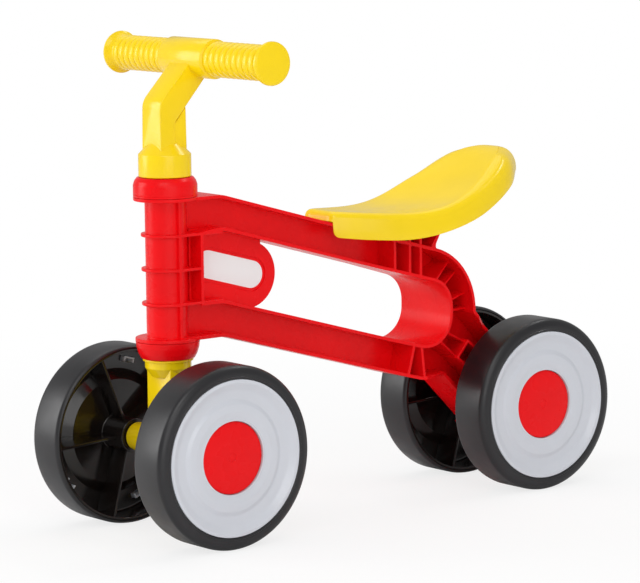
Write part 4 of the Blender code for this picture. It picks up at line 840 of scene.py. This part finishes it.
def pedestal_meshes(size):
    """The block that carries the seat, and the hollow beside its web."""
    rear, neck, front = PEDESTAL_REAR, REAR_AXLE.x - 0.101, REAR_AXLE.x - 0.1655
    foot = neck + 0.0045
    sunk, under = PEDESTAL_TOP - size.flange / 2, PEDESTAL_TOP - size.flange
    block_side = [(front, sunk, 0), (rear, sunk, 0), (neck, 0.2325, 0.006),
                  (foot, arm_line(foot, ARM_TOP) - 0.003, 0), (foot - 0.004, arm_line(foot, ARM_TOP) - 0.008, 0),
                  (front, arm_line(front, ARM_TOP) - 0.008, 0)]
    start, inside = ARM_BREAK + (ARM_TOP - under) / ARM_FALL + 0.006, neck - size.flange * 1.1
    hollow_side = [(start, under, 0), (neck + 0.0075, under, 0), (inside, 0.234, 0.003),
                   (inside, arm_line(inside, ARM_TOP) + 0.0003, 0), (start, arm_line(start, ARM_TOP) + 0.0003, 0)]
    return (side_prism(fillet(block_side, 6), -FAR, FAR), side_prism(fillet(hollow_side, 6), size.web / 2, FAR))


def shin_relief(size):
    """What narrows the flange below the window to the width of the leg's front wall."""
    wall_half, leg_half, above = 0.0154, 0.0205, 0.45
    start, end = ARM_END, REAR_AXLE.x - 0.0781
    top = arm_line(start, ARM_FOOT) + size.flange * 2.5
    wall, down_back = LEG_NORMAL * (LEG_WALL - size.flange), DOWN_BACK.normalized()
    knee = crossing(REAR_AXLE - wall, down_back, (end, top), (1, 0))
    level = REAR_AXLE + down_back * 0.002
    band = side_prism([(start - size.flange, top), knee, level - wall, level - LEG_NORMAL * 0.05,
                       (start - size.flange, top - 0.03)], wall_half, FAR)
    wedge = [(FLARE_HALF, start), (leg_half, end), (leg_half, above), (FARTHER, above), (FARTHER, start)]
    return boolean(band, [plan_prism(wedge, 0.0, 0.18)], "INTERSECT")


def bend_fin(size, angle, rim, reach):
    """A rib across the bend, whose edge falls from the window's rim towards the outer flange."""
    centre, outer_half = Vector((0, HEAD_Y + REAR_AXLE.x - 0.1445, 0.175)), 0.023
    start = rim - size.flange * 0.6
    outline = [(start, 0), (reach + 0.012, 0), (reach + 0.012, outer_half), (reach, outer_half), (rim, FLARE_HALF),
               (start, FLARE_HALF)]
    across, along = math.sin(math.radians(angle)), math.cos(math.radians(angle))
    turn = Matrix(((0, 1, 0, 0), (along, 0, across, 0), (across, 0, -along, 0), (0, 0, 0, 1)))
    return placed(extruded([(a, b, -size.fin / 2) for a, b in outline], (0, 0, size.fin)),
                  Matrix.Translation(centre) @ turn)


def rib_meshes(size, corners, window):
    """The ribs on the left of the web, none of which touch: at the head, on both arms and round the bend."""
    height = 0.03
    ribs = []
    for top, back in zip(HEAD_RINGS, (ARM_BREAK, 0.023, ARM_BREAK)):
        ribs.append(side_prism([(0, top - 0.0002), (back, top - 0.0002), (back, top - 0.0026), (0, top - 0.0026)],
                               0, FAR))
    for ahead, carries_on in ARM_RIBS:
        y = REAR_AXLE.x - ahead
        top = PEDESTAL_TOP - 0.001 if carries_on else arm_line(y, ARM_TOP) - 0.001
        ribs.append(plate((y, arm_line(y, ARM_TOP) - height), (y, top), size.rib, 0, FAR))
    for ahead, lean in LOWER_RIBS:
        y = REAR_AXLE.x - ahead
        foot = arm_line(y, ARM_FOOT) + 0.0015
        ribs.append(plate((y, foot), (y + math.tan(math.radians(lean)) * height, foot + height), size.rib, 0, FAR))
    inside = outline_prism(corners, -0.01, FARTHER, -size.flange / 2)
    opening = outline_prism(window, -0.01, FARTHER, size.flange / 2)
    for fin in BEND_FINS:
        kept = boolean(bend_fin(size, *fin), [inside.copy()], "INTERSECT")
        ribs.append(boolean(kept, [opening.copy()]))
    return ribs


def leg_box(size):
    """The open box that stiffens the leg above the axle."""
    half, reach = 0.0274, 0.0815
    up = Vector((-0.0598, 0.0518)).normalized()
    across = Vector((-up.y, up.x)) * 0.0095
    end = REAR_AXLE + up * (reach - size.rib / 2)
    walls = [plate(REAR_AXLE + edge + up * 0.004, end + edge, size.rib, -half, half) for edge in (across, -across)]
    walls.append(plate(end - across * 1.11, end + across * 1.11, size.rib, -0.027, 0.027))
    return boolean(walls[0], walls[1:], "UNION")


def gusset_mesh(size):
    """The flat plate between the arms, with its round rear edge and the recesses for the labels."""
    front, half = 0.02, 0.006
    top, foot = ARM_TOP - 0.0295, ARM_FOOT + 0.031
    edge = arc((0.084, 0.2215), 0.03, -80, 62, 4)
    outline = [(front, top), (front, foot), (ARM_BREAK, foot), (edge[0][0], arm_line(edge[0][0], foot)), *edge,
               (edge[-1][0], arm_line(edge[-1][0], top)), (ARM_BREAK, top)]
    recesses = both_sides(side_prism(pill(size.recess_radius), LABEL_FLOOR, half + 0.001))
    return softened(boolean(side_prism(outline, -half, half), recesses), size.rounding, size.segments)


def pill(radius):
    """The outline of the label or of its recess."""
    lean = math.degrees(math.atan2(LABEL_REAR.y - LABEL_FRONT.y, LABEL_REAR.x - LABEL_FRONT.x))
    return arc(LABEL_REAR, radius, lean - 90, lean + 90, 6) + arc(LABEL_FRONT, radius, lean + 90, lean + 270, 6)


def head_tube():
    """The head tube with its three rings and two end flanges."""
    bore, tube, ring = 0.015, 0.0182, 0.0219
    corners = [(bore, HEAD_TOP, 0), (COLLAR, HEAD_TOP, 0.0004), (COLLAR, HEAD_TOP - 0.003, 0.0008),
               (tube, HEAD_TOP - 0.003, 0.0008)]
    for top in HEAD_RINGS:
        corners += [(tube, top, 0.0006), (ring, top, 0.0007), (ring, top - 0.0028, 0.0007),
                    (tube, top - 0.0028, 0.0006)]
    corners += [(tube, HEAD_FOOT + 0.003, 0.0008), (COLLAR + 0.0002, HEAD_FOOT + 0.003, 0.0008),
                (COLLAR + 0.0002, HEAD_FOOT, 0.0004), (bore, HEAD_FOOT, 0)]
    return placed(turned(fillet(corners, 30)), TO_HEAD)


def axle_boss(axle):
    """The round boss that holds the rear axle in the leg."""
    radius, bore, half = 0.0125, 0.0043, 0.0262
    boss = turned(fillet([(bore, -half, 0), (radius, -half, 0.0006), (radius, half, 0.0006), (bore, half, 0)], 30), 64)
    return placed(boss, Matrix.Translation(axle) @ ALONG_X)


def pedestal_plate(size):
    """The plate that the seat is screwed to."""
    front = REAR_AXLE.x - 0.1715
    top = plan_prism(fillet([(PEDESTAL_HALF, front, 0.008), (PEDESTAL_HALF, PEDESTAL_REAR, 0.004),
                             (-PEDESTAL_HALF, PEDESTAL_REAR, 0.004), (-PEDESTAL_HALF, front, 0.008)], 8),
                     PEDESTAL_TOP - size.flange - 0.0001, PEDESTAL_TOP)
    return boolean(top, screw_holes(0.0024))


def screw_holes(radius):
    """What cuts the holes for the seat's screws."""
    return [rod(radius, 0.24, 0.26, (place.x, place.y, 0), UPRIGHT, 24) for place in screw_places()]


def frame_mesh(size):
    """The ribbed moulding: flanges round a web, ribs, gusset, pedestal, head tube and leg."""
    hub_gap, hub_inner, arch, arch_inner, clear_of_screw = 0.017, 0.0259, 0.0835, 0.031, 0.0028
    corners, window, web = frame_corners(size), window_corners(), size.web / 2
    axle = (0, HEAD_Y + REAR_AXLE.x, REAR_AXLE.y)
    pedestal, hollow = pedestal_meshes(size)
    inner = offset(corners, -size.flange)
    inner[0], inner[-1] = (web, inner[0][1], 0), (web, inner[-1][1], 0)
    pocket = boolean(outline_prism(inner, web, FARTHER), [outline_prism(window, 0, FAR + 0.02, size.flange)])
    shell = boolean(outline_prism(corners, -FAR, FAR), [pedestal], "UNION")
    shell = boolean(shell, [plan_solid()], "INTERSECT")
    head_bore = rod(0.0166, 0.16, 0.31, (0, HEAD_Y, 0), UPRIGHT, 96)
    axle_bore = rod(0.007, -FAR, FAR, axle)
    hub = rod(hub_gap, hub_inner, FAR, axle)
    shell = boolean(shell, [outline_prism(window, -FARTHER, FARTHER), *both_sides(pocket), *both_sides(hollow),
                            *both_sides(rod(arch, arch_inner, FARTHER, axle, steps=96)),
                            *both_sides(shin_relief(size)), *both_sides(hub.copy()), head_bore.copy(),
                            axle_bore.copy(), *screw_holes(clear_of_screw)])
    ribs = []
    for rib in rib_meshes(size, corners, window):
        rib = boolean(rib, [plan_solid(0.0001)], "INTERSECT")
        rib = boolean(rib, [head_bore.copy(), *screw_holes(clear_of_screw)])
        ribs += both_sides(softened(rib, size.rounding, size.segments))
    box = boolean(leg_box(size), [*both_sides(hub), axle_bore])
    solids = [softened(mesh, size.rounding, size.segments, weld=weld)
              for mesh, weld in ((shell, 0.0003), (box, 0.0), (pedestal_plate(size), 0.0))]
    return merged(*solids, *ribs, gusset_mesh(size), head_tube(), axle_boss(axle))


# Operators

class RIDEON_OT_frame(bpy.types.Operator):
    """Gives the ribbed frame its rounded edges and red plastic, and fits the collars above and below it"""
    bl_idname = "ride_on.frame"
    bl_label = "Frame and Collars"

    def execute(self, context):
        piece("frame_moulding", weighted(frame_mesh(context.scene.ride_on_frame)), "red", "chassis", ["frame"], None)
        upper, lower = collar_meshes()
        piece("upper_collar", upper, "red", "chassis", ["upper_head_bush"])
        piece("lower_collar", lower, "red", "chassis", ["lower_head_bush"])
        return {"FINISHED"}


class RIDEON_OT_label(bpy.types.Operator):
    """Lays the bare white label in its recess on the left of the frame"""
    bl_idname = "ride_on.label"
    bl_label = "Bare Label"

    def execute(self, context):
        size = context.scene.ride_on_frame
        film = side_prism(pill(size.label_radius), LABEL_FLOOR, LABEL_FLOOR + 0.0005)
        piece("bare_label", softened(film, 0.00012), "label", "chassis")
        return {"FINISHED"}


class RIDEON_OT_handlebar(bpy.types.Operator):
    """Makes the bar with its ribbed grips, and the bent stem with its cup"""
    bl_idname = "ride_on.handlebar"
    bl_label = "Handlebar"

    def execute(self, context):
        size = context.scene.ride_on_handlebar
        piece("handlebar_grips", bar_mesh(size), "yellow", "steering", ["handlebar"])
        piece("handlebar_stem", stem_mesh(size), "yellow", "steering", ["handlebar"])
        return {"FINISHED"}


class RIDEON_OT_fork(bpy.types.Operator):
    """Makes the fork that holds the front axle"""
    bl_idname = "ride_on.fork"
    bl_label = "Fork"

    def execute(self, context):
        piece("fork_moulding", fork_mesh(context.scene.ride_on_wheels), "yellow", "steering", ["fork"])
        return {"FINISHED"}


class RIDEON_OT_seat(bpy.types.Operator):
    """Makes the seat shell with its rounded shoulder, dished top and screw bosses"""
    bl_idname = "ride_on.seat"
    bl_label = "Seat"

    def execute(self, context):
        mesh = seat_mesh(context.scene.ride_on_seat)
        piece("seat_shell", mesh, "yellow", "chassis", ["seat"], math.radians(50))
        return {"FINISHED"}


class RIDEON_OT_wheels(bpy.types.Operator):
    """Makes the four wheels: tyre, webbed core, white disc with snap hooks and red cap"""
    bl_idname = "ride_on.wheels"
    bl_label = "Wheels"

    def execute(self, context):
        size = context.scene.ride_on_wheels
        kinds = (("tyre", tyre_mesh(size), "tyre"), ("wheel_core", core_mesh(size), "core"),
                 ("wheel_disc", merged(disc_mesh(size), hooks_mesh(size)), "white"), ("hub_cap", cap_mesh(size), "red"))
        for label, centre in WHEELS.items():
            side = math.copysign(1, centre.x)
            place = Matrix.Translation(centre) @ Matrix.Rotation(side * math.pi / 2, 4, "Y")
            for kind, pattern, finish in kinds:
                node = label + "_" + kind
                piece(node + "_finished", placed(pattern.copy(), place), finish, label + "_wheel", [node])
        return {"FINISHED"}


class RIDEON_OT_fasteners(bpy.types.Operator):
    """Gives axles, washers, push nuts and screws their zinc plating"""
    bl_idname = "ride_on.fasteners"
    bl_label = "Axles and Fasteners"

    def execute(self, context):
        for name, node in frame["nodes"].items():
            if any(word in name for word in ("axle", "washer", "nut", "screw")):
                node.data.materials.clear()
                node.data.materials.append(paint("steel"))
        return {"FINISHED"}


class RIDEON_OT_stage(bpy.types.Operator):
    """Sets the pale floor, the soft lights and the camera"""
    bl_idname = "ride_on.stage"
    bl_label = "Photo Stage"

    def execute(self, context):
        stage = context.scene.ride_on_stage
        add_floor(stage)
        add_world(stage)
        for name, place, target, size in LIGHTS:
            add_light(name + " light", Vector(place), Vector(target), size, getattr(stage, name + "_power"))
        add_camera(stage)
        context.scene.view_settings.view_transform = "Standard"
        return {"FINISHED"}


# Stage

LIGHTS = (  # name, place, target, width and height
    ("key", (1.6, -1.5, 2.2), (0, 0, 0.2), (1.6, 1.6)),
    ("fill", (2.6, -0.9, 0.8), (0, 0, 0.2), (1.8, 1.4)),
    ("front", (-1.6, -2.0, 0.8), (0, 0, 0.15), (1.2, 1.5)),
    ("strip", (0.35, 1.4, 2.0), (0, 0.05, 0.25), (1.1, 0.12)),
    ("top", (-0.8, 0.4, 2.6), (0, 0, 0.2), (2.0, 2.0)),
)
GLOW_START, GLOW_END = 0.3, 1.1


def seen_directly(tree):
    return add_node(tree, "ShaderNodeLightPath").outputs["Is Camera Ray"]


def add_floor(stage):
    """A floor that keeps the toy's shadow near it and turns into the white background further out."""
    shape = bmesh.new()
    bmesh.ops.create_grid(shape, x_segments=8, y_segments=8, size=stage.floor_half_size)
    floor = add_object("studio_floor", mesh_from(shape))
    floor.data.name = floor.name
    material, tree, surface = shader("studio floor paint")
    fill_inputs(tree, surface, {"Base Color": (*stage.floor_colour, 1), "Roughness": 0.9, "Specular IOR Level": 0.1})
    distance = add_node(tree, "ShaderNodeVectorMath", {0: own_place(tree)}, operation="LENGTH").outputs["Value"]
    far = add_node(tree, "ShaderNodeMapRange", {"Value": distance, "From Min": GLOW_START, "From Max": GLOW_END,
                                                "To Min": stage.floor_glow}, interpolation_type="SMOOTHSTEP")
    glow = add_node(tree, "ShaderNodeMath", {0: far.outputs["Result"], 1: seen_directly(tree)}, operation="MULTIPLY")
    white = add_node(tree, "ShaderNodeEmission").outputs["Emission"]
    mix = add_node(tree, "ShaderNodeMixShader", {0: glow.outputs[0], 1: surface.outputs["BSDF"], 2: white})
    output = next(node for node in tree.nodes if node.type == "OUTPUT_MATERIAL")
    fill_inputs(tree, output, {"Surface": mix.outputs["Shader"]})
    floor.data.materials.append(material)


def add_world(stage):
    """A background that is white to the camera and dimmer as a light."""
    world = bpy.data.worlds.new("studio white")
    bpy.context.scene.world = world
    world.use_nodes = True
    tree = world.node_tree
    background = next(node for node in tree.nodes if node.type == "BACKGROUND")
    strength = add_node(tree, "ShaderNodeMapRange", {"To Min": stage.world_strength, "To Max": 1.0,
                                                     "Value": seen_directly(tree)}).outputs["Result"]
    fill_inputs(tree, background, {"Color": (1, 1, 1, 1), "Strength": strength})


def add_light(name, place, target, size, power):
    lamp = bpy.data.lights.new(name, "AREA")
    lamp.shape = "RECTANGLE"
    lamp.size, lamp.size_y = size
    lamp.energy = power
    light = add_object(name, lamp)
    light.matrix_world = Matrix.Translation(place) @ (target - place).to_track_quat("-Z", "Y").to_matrix().to_4x4()


def add_camera(stage):
    """The photograph's own viewpoint, found from the wheels and the frame's straight lines."""
    camera = bpy.data.cameras.new("photo camera")
    camera.lens = stage.lens
    camera.sensor_width = 36.0
    camera.clip_end = 60.0
    place = Matrix.Translation(stage.camera_place)
    for angle, axis in ((stage.azimuth, "Z"), (90 - stage.elevation, "X"), (-stage.roll, "Z")):
        place @= Matrix.Rotation(math.radians(angle), 4, axis)
    holder = add_object("photo camera", camera)
    holder.matrix_world = place
    bpy.context.scene.camera = holder


# Settings

def colour(label, about, default):
    return FloatVectorProperty(name=label, description=about, subtype="COLOR", size=3, min=0.0, max=1.0,
                               default=default)


def length(label, about, default):
    return FloatProperty(name=label, description=about, default=default, unit="LENGTH", precision=4)


def number(label, about, default):
    return FloatProperty(name=label, description=about, default=default)


def count(label, about, default, low, high):
    return IntProperty(name=label, description=about, default=default, min=low, max=high)


class RideOnColours(bpy.types.PropertyGroup):
    """Colours of the toy's plastics and steel"""
    red: colour("Red", "Frame, collars and hub caps", (0.84, 0.003, 0.006))
    yellow: colour("Yellow", "Seat, fork and handlebar", (0.93, 0.66, 0.004))
    tyre: colour("Tyre", "Tyres", (0.0115, 0.011, 0.013))
    core: colour("Wheel core", "Glossy cores behind the discs", (0.01, 0.007, 0.006))
    white: colour("Wheel disc", "Discs and snap hooks", (0.6, 0.62, 0.67))
    steel: colour("Steel", "Axles, washers, nuts and screws", (0.6, 0.61, 0.63))
    label: colour("Label", "The bare label", (0.88, 0.88, 0.88))


class RideOnFrame(bpy.types.PropertyGroup):
    """Walls of the frame, how far its edges are rounded, and the label"""
    flange: length("Flange", "Thickness of the flanges and the rims", 0.003)
    web: length("Web", "Thickness of the web in the middle plane", 0.003)
    rib: length("Rib", "Thickness of the straight ribs", 0.0024)
    fin: length("Fin", "Thickness of the ribs round the bend", 0.0019)
    rounding: length("Rounding", "Width of the rounded edges", 0.0005)
    segments: count("Segments", "Steps across a rounded edge", 3, 1, 4)
    recess_radius: length("Recess radius", "Radius of the label recess's round ends", 0.015)
    label_radius: length("Label radius", "Radius of the label's round ends", 0.0122)


class RideOnHandlebar(bpy.types.PropertyGroup):
    """Sizes of the bar, its grips and its cup"""
    bar_half_length: length("Half length", "From the middle to the end of the bar", 0.112)
    bar_height: length("Height", "Height of the bar's axis above the floor", 0.4154)
    bar_setback: length("Setback", "How far the bar lies behind the steering axis", 0.0335)
    middle_half: length("Middle half length", "Half of the smooth raised middle", 0.0312)
    middle_radius: length("Middle radius", "Radius of the smooth middle", 0.0173)
    grip_radius: length("Grip radius", "Radius over the ribs", 0.0156)
    groove: length("Groove", "Depth between the ribs", 0.0012)
    rib_pitch: length("Rib pitch", "Distance between ribs", 0.0079)
    rib_count: count("Ribs", "Ribs on each grip", 9, 1, 20)
    flange_radius: length("End radius", "Radius of the flared ends", 0.0188)
    cup_radius: length("Cup radius", "Radius of the cup over the steerer", 0.023)


class RideOnSeat(bpy.types.PropertyGroup):
    """Sizes of the seat shell"""
    wall: length("Wall", "Thickness of the shell", 0.003)
    dish: length("Dish", "How far the middle lies below the crest", 0.002)
    shoulder: length("Shoulder", "Radius of the rounded shoulder", 0.0068)
    shoulder_steps: count("Shoulder steps", "Steps up the skirt and over the shoulder", 11, 4, 20)


class RideOnWheels(bpy.types.PropertyGroup):
    """Sizes of the wheels"""
    tread_radius: length("Tread radius", "Radius of the tyre", 0.08)
    half_width: length("Half width", "Half the width of the tyre", 0.0199)
    tyre_wall: length("Tyre wall", "Thickness of the tyre over the core", 0.0027)
    disc_radius: length("Disc radius", "Radius of the white disc", 0.0682)
    cap_radius: length("Cap radius", "Radius of the red cap", 0.0316)
    cap_recess: length("Cap recess", "How far the cap lies inside the tyre's face", 0.0055)
    core_wall: length("Core wall", "Thickness of the core", 0.0025)
    hub_radius: length("Hub radius", "Radius of the core's hub", 0.0155)
    web_count: count("Webs", "Webs and snap hooks round the hub", 5, 3, 12)
    web_phase: number("Web phase", "Turn of the first web, in degrees", -22.0)
    web_thickness: length("Web thickness", "Thickness of a web", 0.0024)
    hook_radius: length("Hook radius", "Where the snap hooks stand", 0.0645)
    axle_height: length("Axle height", "Height of the axles above the floor", 0.08)
    steps: count("Steps", "Steps round a wheel", 128, 24, 256)


class RideOnStage(bpy.types.PropertyGroup):
    """Camera, lights and floor"""
    camera_place: FloatVectorProperty(name="Camera place", description="Where the camera stands",
                                      subtype="TRANSLATION", size=3, default=(2.347, -1.8714, 0.6148))
    azimuth: number("Azimuth", "Camera's turn about the toy, in degrees", 51.717)
    elevation: number("Elevation", "Camera's height angle, in degrees", 7.939)
    roll: number("Roll", "Camera's roll, in degrees", 0.638)
    lens: number("Lens", "Focal length in millimetres", 188.68)
    key_power: number("Key power", "Power of the key light", 20.0)
    fill_power: number("Fill power", "Power of the fill light", 15.0)
    front_power: number("Front power", "Power of the light before the toy", 25.0)
    strip_power: number("Strip power", "Power of the narrow light behind", 7.0)
    top_power: number("Top power", "Power of the top light", 14.0)
    world_strength: number("World strength", "Light from all round", 0.5)
    floor_glow: FloatProperty(name="Floor glow", description="How far the floor near the toy is already white",
                              default=0.78, min=0.0, max=1.0, subtype="FACTOR")
    floor_half_size: length("Floor half size", "Half the side of the floor", 30.0)
    floor_colour: colour("Floor", "The floor near the toy", (0.92, 0.92, 0.92))


class RIDEON_PT_panel(bpy.types.Panel):
    """Lists the ride-on's pieces and settings"""
    bl_idname = "RIDEON_PT_panel"
    bl_label = "Foot-to-Floor Ride-On"
    bl_space_type = "VIEW_3D"
    bl_region_type = "UI"
    bl_category = "Ride-On"

    def draw(self, context):
        for operator in OPERATORS:
            self.layout.operator(operator.bl_idname)
        for name in SETTINGS:
            box = self.layout.box()
            settings = getattr(context.scene, name)
            for key in settings.bl_rna.properties.keys():
                if key not in ("rna_type", "name"):
                    box.prop(settings, key)


OPERATORS = (RIDEON_OT_frame, RIDEON_OT_label, RIDEON_OT_handlebar, RIDEON_OT_fork, RIDEON_OT_seat,
             RIDEON_OT_wheels, RIDEON_OT_fasteners, RIDEON_OT_stage)
SETTINGS = {"ride_on_colours": RideOnColours, "ride_on_frame": RideOnFrame, "ride_on_handlebar": RideOnHandlebar,
            "ride_on_seat": RideOnSeat, "ride_on_wheels": RideOnWheels, "ride_on_stage": RideOnStage}


def register():
    for group in (*SETTINGS.values(), *OPERATORS, RIDEON_PT_panel):
        bpy.utils.register_class(group)
    for name, group in SETTINGS.items():
        setattr(bpy.types.Scene, name, PointerProperty(type=group))


def unregister():
    for name in SETTINGS:
        delattr(bpy.types.Scene, name)
    for group in reversed((*SETTINGS.values(), *OPERATORS, RIDEON_PT_panel)):
        bpy.utils.unregister_class(group)


def main():
    register()
    bpy.ops.ride_on.frame()
    bpy.ops.ride_on.label()
    bpy.ops.ride_on.handlebar()
    bpy.ops.ride_on.fork()
    bpy.ops.ride_on.seat()
    bpy.ops.ride_on.wheels()
    bpy.ops.ride_on.fasteners()
    bpy.ops.ride_on.stage()


if __name__ == "__main__":
    main()
